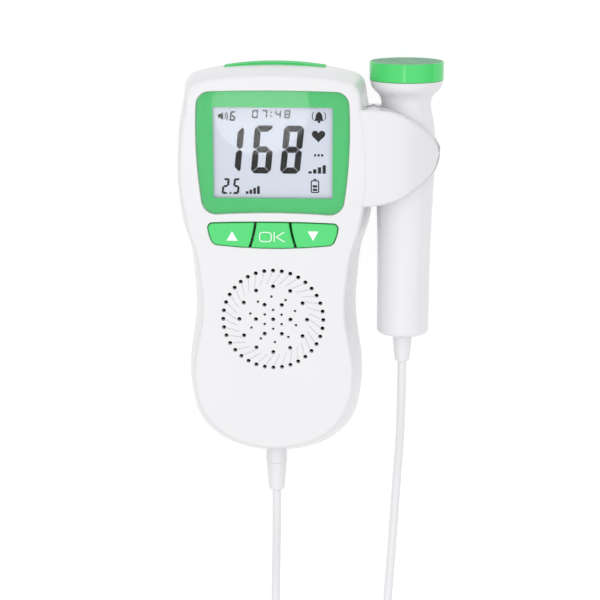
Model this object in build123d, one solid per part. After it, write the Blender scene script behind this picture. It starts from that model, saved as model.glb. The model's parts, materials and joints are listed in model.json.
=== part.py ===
from build123d import *
import os
from math import atan2, cos, degrees, pi, radians, sin, tan

# Fetal doppler monitor, lying on its back. Millimetres.
# Origin: centre of the flat back. +X to the probe's side, +Y to the crown, +Z out of the front face.

os.makedirs("parts", exist_ok=True)

# ---------------------------------------------------------------- driving sizes

# Main unit
unit_length = 140.0
unit_thickness = 30.5
belt_height = 14.0  # the widest line, where the two shells meet
wall = 2.2
shoulder_half_width = 31.3
screen_half_width = 34.3
waist_half_width = 28.4
bulge_half_width = 30.9
crown_drop = 2.8  # how far the crown's arch falls to the shoulders
front_round = 1.6
back_draw = 5.0  # how far the flat back lies inside the belt line
back_round = 2.0
crown_y = unit_length / 2
chin_y = -unit_length / 2
widest_y = crown_y - 36.7
bulge_y = chin_y + 29.5
waist_y = widest_y - 0.622 * (widest_y - bulge_y)

# Window
window_height = 42.05
window_top_half_width = 25.5
window_mid_half_width = 26.0
window_foot_half_width = 23.6
window_thickness = 1.0
window_recess = 0.3
window_gap = 0.15
window_ledge = 1.8
border_thickness = 0.2
window_top = crown_y - 7.6
window_foot = window_top - window_height
window_arch = 0.5
window_top_round = 4.5
window_foot_round = 5.0

# Liquid crystal panel
view_width = 40.2
view_height = 30.7
glass_side_rim = 1.4
glass_foot_rim = 2.3
glass_thickness = 2.8
glass_depth = 0.3  # below the front wall's inner face
view_drop = 5.85  # from the window's top to the view
view_y = window_top - view_drop - view_height / 2
frame_wall = 0.6
frame_rim = 0.8
strip_width = 1.6

# Keys
band_gap = 2.95  # between the window and the keys
band_top = window_foot - band_gap
band_depth = 8.8
band_foot = band_top - band_depth
band_half_width = 22.3
band_foot_half_width = 20.4
middle_key_top = 12.0
middle_key_foot = 16.7
key_parting = 0.8
key_gap = 0.3
key_proud = 0.5
key_round = 0.3
key_flange_height = 1.0
key_flange_reach = 0.9
key_stem_radius = 2.0
key_stem_length = 1.7
key_travel = 0.8
side_key_x = 14.3
stem_y = band_top - band_depth / 2 - 0.2
membrane_thickness = 0.8
dome_radius = 3.0
dome_gap = 0.1

# Power key
power_key_width = 35.0
power_key_height = 8.0
power_key_rise = 0.9
power_key_travel = 1.0
power_key_gap = 0.3
power_key_z = belt_height - 0.5
power_key_seat = 2.6  # from the crown's inner face to the flange
power_flange_reach = 1.2
power_flange_thickness = 0.7
power_plunger_length = 1.7
power_plunger_half_width = 2.5
switch_gap = 0.2

# Speaker
speaker_y = band_foot - 25.5
hole_radius = 0.72
small_hole_radius = 0.47
outer_ring_radius = 17.43
outer_ring_count = 36
groove_width = 0.3
groove_depth = 0.3
groove_inner_radius = 12.9
groove_outer_radius = 16.3
speaker_radius = 19.3
speaker_seat_wall = 1.3
speaker_seat_gap = 0.25
speaker_seat_height = 4.0
basket_depth = 5.3
basket_rim = 0.8
magnet_radius = 9.0
magnet_gap = 0.55  # over the battery bay
pole_radius = 2.6
cloth_thickness = 0.2
speaker_board_gap = 0.1

# Battery door
door_thickness = 2.0
door_gap = 0.25
door_travel = 8.0
door_rail = 0.9
door_rim = 2.2  # how far the door covers past the bay's sides
door_lap = 4.0  # how far the door covers past the bay's head
rail_bottom = 1.05
rail_top = 1.8
groove_bottom = 0.8
tongue_half_width = 6.0
tongue_length = 1.5
ridge_half_width = 7.0
ridge_pitch = 1.6
ridge_count = 6

# Batteries: two AA cells side by side
cell_radius = 7.25
cell_length = 50.5
cell_top = chin_y + 69.3
cell_gap = 0.3
button_radius = 2.7
button_height = 1.4
spring_length = 3.9
spring_radius = 4.6
spring_wire = 0.7
contact_thickness = 0.4
contact_half_width = 6.0
contact_room = 1.2
bay_wall = 1.2
bay_half = 2 * cell_radius + cell_gap
bay_head = cell_top + contact_room
bay_foot = cell_top - cell_length - spring_length - 1.0
bay_top = door_thickness + door_gap + 2 * cell_radius + 2 * cell_gap
bay_roof = bay_top + bay_wall
cell_height = door_thickness + door_gap + cell_gap + cell_radius
door_half_width = bay_half + door_rim
door_top = bay_head + door_lap

# Circuit board
board_thickness = 1.6
board_height = 20.0
board_half_width = 22.0
board_foot = speaker_y + speaker_radius + speaker_board_gap
board_top = crown_y - 5.5
board_corner = 3.5
board_post_radius = 2.4
board_screw_radius = 0.9
board_screw_head = 1.7
board_screw_length = 6.0

# Leads
lead_radius = 0.8
speaker_lead_radius = 0.7
lead_end_gap = 0.2
jack_half = 4.5
jack_depth = 9.0
jack_y = chin_y + 3.6

# Screws
screw_radius = 1.2
screw_head_radius = 2.3
screw_head_height = 1.8
screw_well_depth = 6.0
screw_reach = 9.0  # into the front shell's posts
screw_slot = 0.7
front_post_radius = 2.9
rear_post_radius = 3.7
upper_screw_x = board_half_width + front_post_radius + 0.4
upper_screw_y = widest_y - 13.0
lower_screw_x = door_half_width + door_rail + 3.9
lower_screw_y = bulge_y + 0.5

# Probe
probe_length = 97.15  # the hard case, without its strain relief
head_radius = 12.75
head_top = crown_y + 1.05
head_height = 6.6
head_wall = 1.55
head_front = 1.4
head_foot = head_top - head_height
face_depth = 0.5
neck_radius = 8.55
handle_radius = 10.4
tail_radius = 9.2
tail_y = head_top - probe_length
tail_round = 1.5
tail_hole = 3.1
probe_wall = 1.8
probe_gap = 0.5  # between the handle and the unit's side
probe_x = screen_half_width + probe_gap + handle_radius
probe_z = belt_height
spigot_radius = head_radius - head_wall - 0.1
spigot_wall = 1.5
crystal_radius = 9.0
crystal_thickness = 1.0
crystal_parting = 0.6
backing_thickness = 3.0
probe_board_half_width = 7.0
probe_board_thickness = 1.2
probe_board_head = head_top - 26.0
probe_board_foot = tail_y + 21.0

# Clip
clip_clearance = 0.35
clip_wall = 1.35
clip_top = crown_y - 15.1
clip_foot = clip_top - 33.5
clip_parting = 0.8
clip_web_height = 26.6
clip_root = screen_half_width - 6.0
clip_bore = handle_radius + clip_clearance
clip_outer = clip_bore + clip_wall

# Cord and plug
cord_radius = 1.55
plug_face_y = chin_y - 0.4
plug_radius = 3.7
plug_length = 5.0
plug_boot_length = 10.0
plug_boot_radius = 3.25
plug_boot_foot = 2.6
boot_length = 8.5
boot_radius = 3.4
boot_foot = 2.5
boot_y = tail_y - 1.2
boot_neck = 3.0
boot_flange = 4.6
boot_flange_thickness = 1.6
boot_end_round = 0.8
pin_radius = 1.75
pin_length = 10.5
pin_hole_gap = 0.6

# The cord's routes and its coil, which lies on the table beyond the chin
plug_exit_y = plug_face_y - plug_length - plug_boot_length
boot_exit_y = boot_y - boot_length
coil_x = 20.0
coil_y = -165.0
coil_pitch = 3.15
coil_rings = 2
coil_layers = 4
coil_outer_turn = 19.5
coil_round = 1.0
table_gap = 0.05
tie_width = 5.0
tie_thickness = 0.7
tie_reach = 0.6


# ---------------------------------------------------------------- helpers


def slab(sketch, bottom, top):
    """The flat outline stood up from one height to another."""
    return extrude(Pos(0, 0, bottom) * sketch, top - bottom)


def block(x0, x1, y0, y1, z0, z1):
    """A box between two corners."""
    return Pos((x0 + x1) / 2, (y0 + y1) / 2, (z0 + z1) / 2) * Box(x1 - x0, y1 - y0, z1 - z0)


def post(x, y, radius, z0, z1):
    """A round post or hole along Z."""
    return Pos(x, y, (z0 + z1) / 2) * Cylinder(radius, z1 - z0)


def rod(x, z, radius, y0, y1):
    """A round rod or hole along Y."""
    return Pos(x, (y0 + y1) / 2, z) * Rot(90, 0, 0) * Cylinder(radius, y1 - y0)


def both_sides(x, y):
    """The same place on the left and on the right."""
    return [(-x, y), (x, y)]


def write(shape, node):
    """One STEP file for one node."""
    export_step(shape, f"parts/{node}.step")


# ---------------------------------------------------------------- shells of the main unit


def front_draw(y):
    """How far the front face's edge lies inside the belt line, at a place along Y."""
    places = [(chin_y, 5.5), (bulge_y, 3.3), (waist_y, 4.6), (band_top, 3.6), (widest_y, 2.1), (crown_y, 2.1)]
    for (y0, d0), (y1, d1) in zip(places, places[1:]):
        if y <= y1:
            share = min(max((y - y0) / (y1 - y0), 0), 1)
            smooth = share * share * (3 - 2 * share)
            return d0 + (d1 - d0) * smooth
    return places[-1][1]


def belt_points():
    """The right half of the belt line, from the crown round to the chin."""
    shoulder, screen = shoulder_half_width, screen_half_width
    waist, bulge = waist_half_width, bulge_half_width
    upper = widest_y - waist_y
    lower = waist_y - bulge_y
    return [
        (0, crown_y),
        (shoulder - 17.3, crown_y - 0.2 * crown_drop),
        (shoulder - 9.3, crown_y - 0.54 * crown_drop),
        (shoulder - 4.3, crown_y - crown_drop),
        (shoulder - 1.7, crown_y - crown_drop - 1.3),
        (shoulder - 0.4, crown_y - crown_drop - 3.3),
        (shoulder + 0.4, crown_y - crown_drop - 7.8),
        (screen - 1.3, widest_y + 19.5),
        (screen - 0.3, widest_y + 9.5),
        (screen, widest_y),
        (screen - 0.4, widest_y - 0.229 * upper),
        (screen - 1.7, widest_y - 0.41 * upper),
        (waist + 2.1, waist_y + 0.449 * upper),
        (waist + 0.7, waist_y + 0.231 * upper),
        (waist, waist_y),
        (waist + 0.9, waist_y - 0.427 * lower),
        (bulge - 0.3, bulge_y + 0.269 * lower),
        (bulge, bulge_y),
        (bulge - 0.9, bulge_y - 8.6),
        (bulge - 3.2, bulge_y - 16.4),
        (bulge - 7.2, chin_y + 7.9),
        (bulge - 12.5, chin_y + 4.0),
        (bulge - 20.5, chin_y + 1.2),
        (0, chin_y),
    ]


def section(height, draw):
    """The unit's outline at one height, drawn in from the belt by draw(y)."""
    right = []
    for x, y in belt_points():
        inset = draw(y)
        right.append((x * (1 - inset / screen_half_width), y * (1 - inset / crown_y)))
    left = [(-x, y) for x, y in right[-2:0:-1]]
    return Pos(0, 0, height) * make_face(Spline(*right, *left, periodic=True))


def front_solid(inset, top):
    """The front half of the unit, from the belt to the front face, with its side drawn in."""
    rise = unit_thickness - belt_height
    levels = [0.0, 0.2, 0.5, 0.8, (top - belt_height) / rise]
    return loft([
        section(belt_height + level * rise, lambda y, level=level: front_draw(y) * level**1.3 + inset)
        for level in levels
    ])


def back_solid(inset, bottom):
    """The back half of the unit, from the belt down to the flat back."""
    levels = [0.0, 0.25, 0.5, 0.75, (belt_height - bottom) / belt_height]
    return loft([
        section(belt_height * (1 - level), lambda y, level=level: back_draw * level**2.2 + inset)
        for level in levels
    ])


def rounded(solid, top, radius):
    """The solid with its outer rim at its top or bottom face rounded."""
    order = solid.edges().sort_by(Axis.Z)
    rim = order[-1] if top else order[0]
    return fillet(rim, radius)


def clip_outline():
    """The leaf-shaped outline of the clip's claws, seen from the front."""
    tip = probe_x + clip_outer + 0.3
    tip_y = clip_foot + 19.4
    upper = Spline(
        (clip_root, clip_top - 0.5),
        (probe_x - 8.6, clip_top),
        (probe_x - 3.5, clip_top - 0.8),
        (probe_x + 3.4, clip_top - 4.1),
        (probe_x + 7.8, clip_top - 7.6),
        (tip - 1.5, tip_y + 2.8),
        (tip, tip_y),
    )
    lower = Spline(
        (tip, tip_y),
        (tip - 1.8, tip_y - 4.0),
        (probe_x + 6.0, clip_foot + 9.3),
        (probe_x + 1.6, clip_foot + 5.6),
        (probe_x - 3.1, clip_foot + 2.8),
        (probe_x - 8.6, clip_foot + 0.5),
        (clip_root, clip_foot),
    )
    base = Line((clip_root, clip_foot), (clip_root, clip_top - 0.5))
    return make_face([upper, lower, base])


def claw(front):
    """One claw of the clip: a web on the unit's side that runs into a half ring round the probe."""
    outer = clip_outer
    left = clip_root
    length = clip_top - clip_foot + 2
    web_rise = clip_web_height - probe_z
    top_line = Spline(
        (left, web_rise + 0.6),
        (left + 7.6, web_rise - 1.3),
        (probe_x - 3.2, outer - 0.35),
        (probe_x, outer),
    )
    web = make_face([
        top_line,
        Line((probe_x, outer), (probe_x, 0)),
        Line((probe_x, 0), (left, 0)),
        Line((left, 0), (left, web_rise + 0.6)),
    ])
    half_disc = Pos(probe_x, 0) * Circle(outer) & Pos(probe_x, outer) * Rectangle(4 * outer, 2 * outer)
    profile = web + half_disc - Pos(probe_x, 0) * Circle(clip_bore)
    tip_cut = Pos(probe_x + outer, 0) * Rectangle(outer, clip_parting)
    profile = profile - tip_cut
    leaf = slab(clip_outline(), -1, unit_thickness)
    # The profile's X is the unit's X, and its Y is the height from the belt.
    bar = extrude(Plane((0, clip_top + 1, probe_z), x_dir=(1, 0, 0), z_dir=(0, -1, 0)) * profile, length)
    if not front:
        bar = mirror(bar, Plane((0, 0, probe_z), z_dir=(0, 0, 1)))
    return bar & leaf


def window_outline(grow=0.0):
    """The window's outline, grown all round: arched top, bowed sides and a hollow foot."""
    mid = (window_top + window_foot) / 2 + 2.5
    tw = window_top_half_width + grow
    mw = window_mid_half_width + grow
    fw = window_foot_half_width + grow
    crest = window_top + grow
    foot = window_foot - grow
    face = make_face([
        ThreePointArc((-tw, crest - window_arch), (0, crest), (tw, crest - window_arch)),
        ThreePointArc((tw, crest - window_arch), (mw, mid), (fw, foot - window_arch)),
        ThreePointArc((fw, foot - window_arch), (0, foot + window_arch), (-fw, foot - window_arch)),
        ThreePointArc((-fw, foot - window_arch), (-mw, mid), (-tw, crest - window_arch)),
    ])
    high = face.vertices().sort_by(Axis.Y)[-2:]
    face = fillet(high, window_top_round + grow)
    low = face.vertices().sort_by(Axis.Y)[0:2]
    return fillet(low, window_foot_round + grow)


def band_outline(grow=0.0):
    """The outline of the whole band of keys, grown all round."""
    top = band_top + grow
    foot = band_foot - grow
    w = band_half_width + grow
    fw = band_foot_half_width + grow
    bow = band_half_width - 0.35 + grow
    face = make_face([
        ThreePointArc((-w, top - 0.5), (0, top), (w, top - 0.5)),
        ThreePointArc((w, top - 0.5), (bow, band_top - 3.6), (fw, foot + 1.2)),
        ThreePointArc((fw, foot + 1.2), (0, foot), (-fw, foot + 1.2)),
        ThreePointArc((-fw, foot + 1.2), (-bow, band_top - 3.6), (-w, top - 0.5)),
    ])
    high = face.vertices().sort_by(Axis.Y)[-2:]
    face = fillet(high, 1.5 + grow)
    low = face.vertices().sort_by(Axis.Y)[0:2]
    return fillet(low, 2.2 + grow)


def middle_outline(grow):
    """The tapering space of the middle key, which widens towards the foot."""
    top, foot = band_top + 3, band_foot - 3
    upper, lower = middle_key_top / 2 - 0.3 + grow, middle_key_foot / 2 + 0.9 + grow
    middle = middle_key_top / 2 + 0.7 + grow
    return make_face([
        Line((-upper, top), (upper, top)),
        ThreePointArc((upper, top), (middle, (top + foot) / 2), (lower, foot)),
        Line((lower, foot), (-lower, foot)),
        ThreePointArc((-lower, foot), (-middle, (top + foot) / 2), (-upper, top)),
    ])


def key_outlines(grow):
    """The outlines of the up, middle and down keys, grown outwards only."""
    band = band_outline(grow)
    middle = band & middle_outline(-key_parting / 2)
    sides = band - middle_outline(key_parting / 2)
    left, right = sides.faces().sort_by(Axis.X)
    return left, middle, right


def grille_places():
    """Where the speaker holes stand: the large ones and the small ones."""
    large = [(0, 0)]
    for count, radius in ((6, 6.0), (12, 11.8), (outer_ring_count, outer_ring_radius)):
        large += [(radius * cos(2 * pi * k / count), radius * sin(2 * pi * k / count)) for k in range(count)]
    small = [(3.4 * cos(radians(30 + 60 * k)), 3.4 * sin(radians(30 + 60 * k))) for k in range(6)]
    small += [(8.2 * cos(radians(22 + 36 * k)), 8.2 * sin(radians(22 + 36 * k))) for k in range(10)]
    return large, small


def grille_cuts():
    """Speaker holes right through the front wall, and the fine swirl grooves between the rings."""
    large, small = grille_places()
    inner = unit_thickness - wall
    cuts = [post(x, speaker_y + y, hole_radius, inner - 1, unit_thickness + 1) for x, y in large]
    cuts += [post(x, speaker_y + y, small_hole_radius, inner - 1, unit_thickness + 1) for x, y in small]
    for k in range(outer_ring_count):
        angle = 360 * k / outer_ring_count
        start = radians(angle + 1.5)
        end = radians(angle + 10)
        a = Vector(groove_outer_radius * cos(start), speaker_y + groove_outer_radius * sin(start))
        b = Vector(groove_inner_radius * cos(end), speaker_y + groove_inner_radius * sin(end))
        run = b - a
        turn = degrees(atan2(run.Y, run.X))
        middle = (a + b) / 2
        cuts.append(
            Pos(middle.X, middle.Y, unit_thickness)
            * Rot(0, 0, turn)
            * Box(run.length, groove_width, 2 * groove_depth)
        )
    return cuts


def power_key_slot(gap):
    """The slot in the crown that the power key moves in, or the key's own shank."""
    half = power_key_width / 2 + gap
    low = power_key_z - power_key_height / 2 - gap
    high = power_key_z + power_key_height / 2 + gap
    return block(-half, half, crown_y - 12, crown_y + 5, low, high)


def speaker_seat():
    """The round wall behind the grille that holds the speaker."""
    inner = unit_thickness - wall
    bore = speaker_radius + speaker_seat_gap
    ring = post(0, speaker_y, bore + speaker_seat_wall, inner - speaker_seat_height, inner + 0.5)
    return ring - post(0, speaker_y, bore, inner - speaker_seat_height - 1, inner + 1)


def screw_places():
    """The four housing screws."""
    return both_sides(upper_screw_x, upper_screw_y) + both_sides(lower_screw_x, lower_screw_y)


def board_screw_places():
    """The four screws of the circuit board."""
    low = both_sides(board_half_width - 3.0, board_foot + 3.0)
    high = both_sides(board_half_width - 5.0, board_top - 4.0)
    return low + high


def front_housing():
    inner = unit_thickness - wall
    shell = rounded(front_solid(0, unit_thickness), True, front_round) + claw(True)
    shell -= front_solid(wall, inner)
    # Seat of the window: a step that carries the border film and the clear window.
    seat_floor = unit_thickness - window_recess - window_thickness - border_thickness
    shell -= slab(window_outline(window_gap), seat_floor, unit_thickness + 1)
    shell -= slab(window_outline(-window_ledge), inner - 1, unit_thickness)
    shell -= slab(band_outline(key_gap), inner - 1, unit_thickness + 1)
    shell += speaker_seat()
    for x, y in screw_places():
        shell += post(x, y, front_post_radius, belt_height + 0.1, inner + 0.3)
        shell -= post(x, y, screw_radius + 0.05, belt_height - 1, belt_height + screw_reach + 2)
    shell -= grille_cuts()
    shell -= power_key_slot(power_key_gap)
    shell -= rod(0, belt_height, pin_radius + pin_hole_gap, chin_y - 2, chin_y + 8)
    return shell


def rear_housing():
    floor = door_thickness + door_gap
    shell = rounded(back_solid(0, 0), False, back_round) + claw(False)
    shell -= back_solid(wall, wall)
    # Battery bay: a box over the two cells, open at the back, on a seat for the door.
    shell += block(-bay_half - bay_wall, bay_half + bay_wall, bay_foot - bay_wall, bay_head + bay_wall,
                   floor, bay_roof)
    seat_half = door_half_width + 2 * door_rail
    seat = block(-seat_half, seat_half, chin_y, door_top + 2.0, floor, floor + bay_wall)
    shell += seat & back_solid(0.4, wall - 1)
    shell -= block(-bay_half, bay_half, bay_foot, bay_head, -1, bay_top)
    for x, y in board_screw_places():
        shell += post(x, y, board_post_radius, wall - 0.3, board_height)
        shell -= post(x, y, board_screw_radius + 0.05, board_height - board_screw_length - 2, board_height + 1)
    # Recess of the door, open at the chin, with grooves for its rails and its tongue.
    shell -= block(-door_half_width - door_gap, door_half_width + door_gap, chin_y - 5, door_top + door_gap,
                   -1, floor)
    rail = door_half_width + door_rail + door_gap
    shell -= block(-rail, rail, bay_foot - door_travel, bay_head, groove_bottom, floor)
    tongue = tongue_half_width + door_gap
    shell -= block(-tongue, tongue, door_top, door_top + tongue_length + door_gap, groove_bottom, floor)
    for x, y in screw_places():
        shell += post(x, y, rear_post_radius, wall - 0.3, belt_height)
        shell -= post(x, y, screw_head_radius + 0.3, -1, screw_well_depth)
        shell -= post(x, y, screw_radius + 0.3, screw_well_depth - 1, belt_height + 1)
    shell -= power_key_slot(power_key_gap)
    shell -= rod(0, belt_height, pin_radius + pin_hole_gap, chin_y - 2, chin_y + 8)
    return shell


def battery_door():
    """The sliding door: a slab of the back with rails, a tongue and thumb ridges."""
    w = door_half_width
    door = block(-w, w, chin_y - 5, door_top, 0, door_thickness) & rounded(back_solid(0, 0), False, back_round)
    door += block(-w - door_rail, w + door_rail, bay_foot + 2, bay_head - 1.5, rail_bottom, rail_top)
    door += block(-tongue_half_width, tongue_half_width, door_top - 1, door_top + tongue_length,
                  rail_bottom, rail_top)
    for k in range(ridge_count):
        y = bulge_y - 8 + ridge_pitch * k
        door -= block(-ridge_half_width, ridge_half_width, y, y + ridge_pitch / 2, -1, 0.5)
    return door


# ---------------------------------------------------------------- display


def display_window():
    top = unit_thickness - window_recess
    return slab(window_outline(), top - window_thickness, top)


def window_border():
    top = unit_thickness - window_recess - window_thickness
    view = Pos(0, view_y) * Rectangle(view_width, view_height)
    return slab(window_outline() - view, top - border_thickness, top)


def glass_box():
    """Corners of the display glass: x0, x1, y0, y1, z0, z1."""
    half = view_width / 2 + glass_side_rim
    top = unit_thickness - wall - glass_depth
    return (-half, half, view_y - view_height / 2 - glass_foot_rim, view_y + view_height / 2 + glass_side_rim,
            top - glass_thickness, top)


def lcd_panel():
    return block(*glass_box())


def lcd_frame():
    """Light box under the glass, standing on the circuit board, with a low wall round the glass."""
    x0, x1, y0, y1, z0, z1 = glass_box()
    floor = board_height + board_thickness
    g = frame_wall + 0.1
    body = block(x0 - g, x1 + g, y0 - g, y1 + g, floor, z0 + frame_rim)
    body -= block(x0 - 0.1, x1 + 0.1, y0 - 0.1, y1 + 0.1, z0, z0 + 5)
    for x in (x0 + 2, x1 - 2 - strip_width):
        body -= block(x, x + strip_width, y0 + 2, y1 - 2, floor - 1, z0 + 1)
    return body


def lcd_strips():
    """Two rubber contact strips between the board and the glass."""
    x0, x1, y0, y1, z0, z1 = glass_box()
    floor = board_height + board_thickness
    pair = []
    for x in (x0 + 2, x1 - 2 - strip_width):
        pair.append(block(x + 0.15, x + strip_width - 0.15, y0 + 2.2, y1 - 2.2, floor, z0))
    return Compound(children=pair)


# ---------------------------------------------------------------- board


def main_pcb():
    board = block(-board_half_width, board_half_width, board_foot, board_top,
                  board_height, board_height + board_thickness)
    board = chamfer(board.edges().filter_by(Axis.Z).group_by(Axis.Y)[-1], board_corner)
    for x, y in board_screw_places():
        board -= post(x, y, board_screw_radius + 0.15, board_height - 1, board_height + 3)
    return board


def circuit_chips():
    """Packages soldered under the board: place from the middle of its foot, width, depth and height."""
    parts = []
    for x, up, w, d, h in (
        (-9, 37.5, 9, 9, 1.4),
        (7, 40.5, 7, 7, 1.2),
        (-10, 21.5, 10, 6, 1.6),
        (9, 24.5, 5, 4, 1.4),
        (13, 17.0, 8, 5, 2.2),
        (-11, 47.5, 6, 6, 3.0),
        (3, 30.5, 3.2, 1.6, 1.0),
        (14, 33.5, 3.2, 1.6, 1.0),
        (-1, 14.5, 3.2, 1.6, 1.0),
    ):
        y = board_foot + up
        parts.append(block(x - w / 2, x + w / 2, y - d / 2, y + d / 2, board_height - h, board_height))
    return Compound(children=parts)


def pcb_screws():
    parts = []
    top = board_height + board_thickness
    for x, y in board_screw_places():
        shank = post(x, y, board_screw_radius, board_height - board_screw_length, top)
        parts.append(shank + post(x, y, board_screw_head, top, top + 1.0))
    return Compound(children=parts)


def keypad_membrane():
    """Rubber sheet on the board with a dome under each key."""
    floor = board_height + board_thickness
    half = side_key_x + dome_radius + 2
    sheet = block(-half, half, band_foot - 1, band_top + 0.5, floor, floor + membrane_thickness)
    dome_top = key_levels()[2] - key_travel - dome_gap
    for x in (-side_key_x, 0, side_key_x):
        dome = post(x, stem_y, dome_radius, floor + membrane_thickness / 2, dome_top)
        sheet += chamfer(dome.edges().group_by(Axis.Z)[-1], 0.6)
    return sheet


def key_levels():
    """Heights of a key's flange top, flange foot and stem foot."""
    flange_top = unit_thickness - wall - key_gap
    flange_foot = flange_top - key_flange_height
    return flange_top, flange_foot, flange_foot - key_stem_length


def keys():
    """The three keys: a cap through the band, a flange inside the front wall and a stem over its dome."""
    flange_top, flange_foot, stem_foot = key_levels()
    caps = key_outlines(0)
    flanges = key_outlines(key_flange_reach)
    made = []
    for cap, flange, x in zip(caps, flanges, (-side_key_x, 0, side_key_x)):
        key = slab(cap, flange_foot, unit_thickness + key_proud)
        key = fillet(key.edges().group_by(Axis.Z)[-1], key_round)
        key += slab(flange, flange_foot, flange_top)
        key += post(x, stem_y, key_stem_radius, stem_foot, flange_foot)
        made.append(key)
    return made


def power_key():
    """A crescent pad over the crown, with a shank through the slot, a flange inside and a plunger."""
    half = power_key_width / 2
    low = power_key_z - power_key_height / 2
    high = power_key_z + power_key_height / 2
    arch = crown_drop * (half / (shoulder_half_width - 4.3)) ** 2.6
    inside = crown_y - wall - power_key_seat
    crescent = make_face([
        Spline((-half, crown_y - arch + 0.15), (-half + 5, crown_y + 0.5 * power_key_rise - arch * 0.5),
               (0, crown_y + power_key_rise),
               (half - 5, crown_y + 0.5 * power_key_rise - arch * 0.5), (half, crown_y - arch + 0.15)),
        Line((half, crown_y - arch + 0.15), (half, inside)),
        Line((half, inside), (-half, inside)),
        Line((-half, inside), (-half, crown_y - arch + 0.15)),
    ])
    key = slab(crescent, low, high)
    reach = power_flange_reach
    back = inside - power_flange_thickness
    flange = block(-half - reach, half + reach, back, inside, low - reach, high + reach)
    half = power_plunger_half_width
    plunger = block(-half, half, back - power_plunger_length, back + 0.1, power_key_z, high)
    return key + flange + plunger


def power_switch():
    """Side-acting switch under the board's top edge."""
    key_back = crown_y - wall - power_key_seat - power_flange_thickness - power_plunger_length
    plunger_end = key_back - power_key_travel - switch_gap
    z = power_key_z + power_key_height / 4
    body = block(-3.5, 3.5, plunger_end - 6, plunger_end - 1.2, z - 2.2, board_height)
    return body + rod(0, z, 1.5, plunger_end - 1.5, plunger_end)


# ---------------------------------------------------------------- speaker


def speaker_levels():
    """Heights of the speaker's face, rim foot, basket foot and magnet foot."""
    face = unit_thickness - wall - cloth_thickness
    return face, face - basket_rim, face - basket_depth, bay_roof + magnet_gap


def speaker_cloth():
    face = speaker_levels()[0]
    return post(0, speaker_y, speaker_radius - 0.1, face, face + cloth_thickness)


def speaker_frame():
    face, rim, cup, back = speaker_levels()
    floor = cup + 0.8
    hole = pole_radius + 0.4
    profile = Polyline((speaker_radius - 3.3, face), (speaker_radius, face), (speaker_radius, rim),
                       (speaker_radius - 2.0, rim), (magnet_radius + 1.2, cup), (hole, cup), (hole, floor),
                       (magnet_radius + 0.6, floor), (speaker_radius - 3.3, rim), close=True)
    return Pos(0, speaker_y, 0) * revolve(Plane.XZ * make_face(profile), Axis.Z)


def speaker_cone():
    face, rim, cup, back = speaker_levels()
    outer = speaker_radius - 3.4
    profile = Polyline((0, face - 2.4), (4.2, face - 3.2), (outer - 2, face - 0.9), (outer, face - 0.4),
                       (outer, face - 0.8), (outer - 2, face - 1.3), (4.6, face - 3.7), (2.9, face - 4.2),
                       (2.9, face - 3.6), (0, face - 2.9), close=True)
    return Pos(0, speaker_y, 0) * revolve(Plane.XZ * make_face(profile), Axis.Z)


def speaker_magnet():
    face, rim, cup, back = speaker_levels()
    pole = post(0, speaker_y, pole_radius, cup - 0.1, cup + 0.8)
    return post(0, speaker_y, magnet_radius, back, cup) + pole


# ---------------------------------------------------------------- power


def cell_places():
    return [-(cell_radius + cell_gap / 2), cell_radius + cell_gap / 2]


def batteries():
    """Two cells, one each way round."""
    parts = []
    for x, flip in zip(cell_places(), (False, True)):
        shoulder = cell_top - button_height
        body = rod(x, cell_height, cell_radius - cell_gap / 2, cell_top - cell_length + 0.3, shoulder)
        cap = rod(x, cell_height, button_radius, shoulder - 0.1, cell_top)
        cell = body + cap
        if flip:
            cell = mirror(cell, Plane((0, cell_top - cell_length / 2, 0), z_dir=(0, 1, 0)))
        parts.append(cell)
    return Compound(children=parts)


def contact_plate(x, y):
    half = contact_half_width
    return block(x - half, x + half, y, y + contact_thickness, cell_height - half, cell_height + half)


def battery_springs():
    """Two wound springs at the foot of the bay, each on its plate."""
    parts = []
    plate_y = bay_foot + 0.2
    for x in cell_places():
        rings = rod(x, cell_height, spring_radius, plate_y + contact_thickness, cell_top - cell_length - 0.05)
        rings -= rod(x, cell_height, spring_radius - spring_wire, plate_y, cell_top)
        parts.append(rings + contact_plate(x, plate_y))
    return Compound(children=parts)


def battery_contacts():
    return Compound(children=[contact_plate(x, cell_top + 0.2) for x in cell_places()])


# ---------------------------------------------------------------- screws


def housing_screws():
    parts = []
    for x, y in screw_places():
        head = post(x, y, screw_head_radius, screw_well_depth - screw_head_height, screw_well_depth)
        span = 2 * screw_head_radius - 1.4
        slot = Box(span, screw_slot, 0.9) + Box(screw_slot, span, 0.9)
        head -= Pos(x, y, screw_well_depth - screw_head_height) * slot
        parts.append(head + post(x, y, screw_radius, screw_well_depth, belt_height + screw_reach))
    return Compound(children=parts)


# ---------------------------------------------------------------- plug and socket


def probe_socket():
    """The jack inside the chin that takes the plug's pin."""
    half = jack_half
    body = block(-half, half, jack_y, jack_y + jack_depth, belt_height - half, belt_height + half)
    return body - rod(0, belt_height, pin_radius + 0.05, jack_y - 1, jack_y + jack_depth - 0.5)


def plug_pin():
    pin = rod(0, belt_height, pin_radius, plug_face_y, plug_face_y + pin_length)
    return chamfer(pin.edges().sort_by(Axis.Y)[-1], 0.5)


def plug_shell():
    shell = rod(0, belt_height, plug_radius, plug_face_y - plug_length, plug_face_y)
    shell = fillet(shell.edges().sort_by(Axis.Y)[-1], 0.3)
    return fillet(shell.edges().group_by(Axis.Y)[0], 0.3)


def boot(x, z, top_radius, foot_radius, y0, y1):
    """A tapered strain relief from y1 down to y0, rounded at its foot."""
    profile = make_face(Polyline((0, y1), (top_radius, y1), (foot_radius, y0), (0, y0), close=True))
    cone = revolve(profile, Axis.Y)
    return Pos(x, 0, z) * fillet(cone.edges().sort_by(Axis.Y)[0], boot_end_round)


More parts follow.
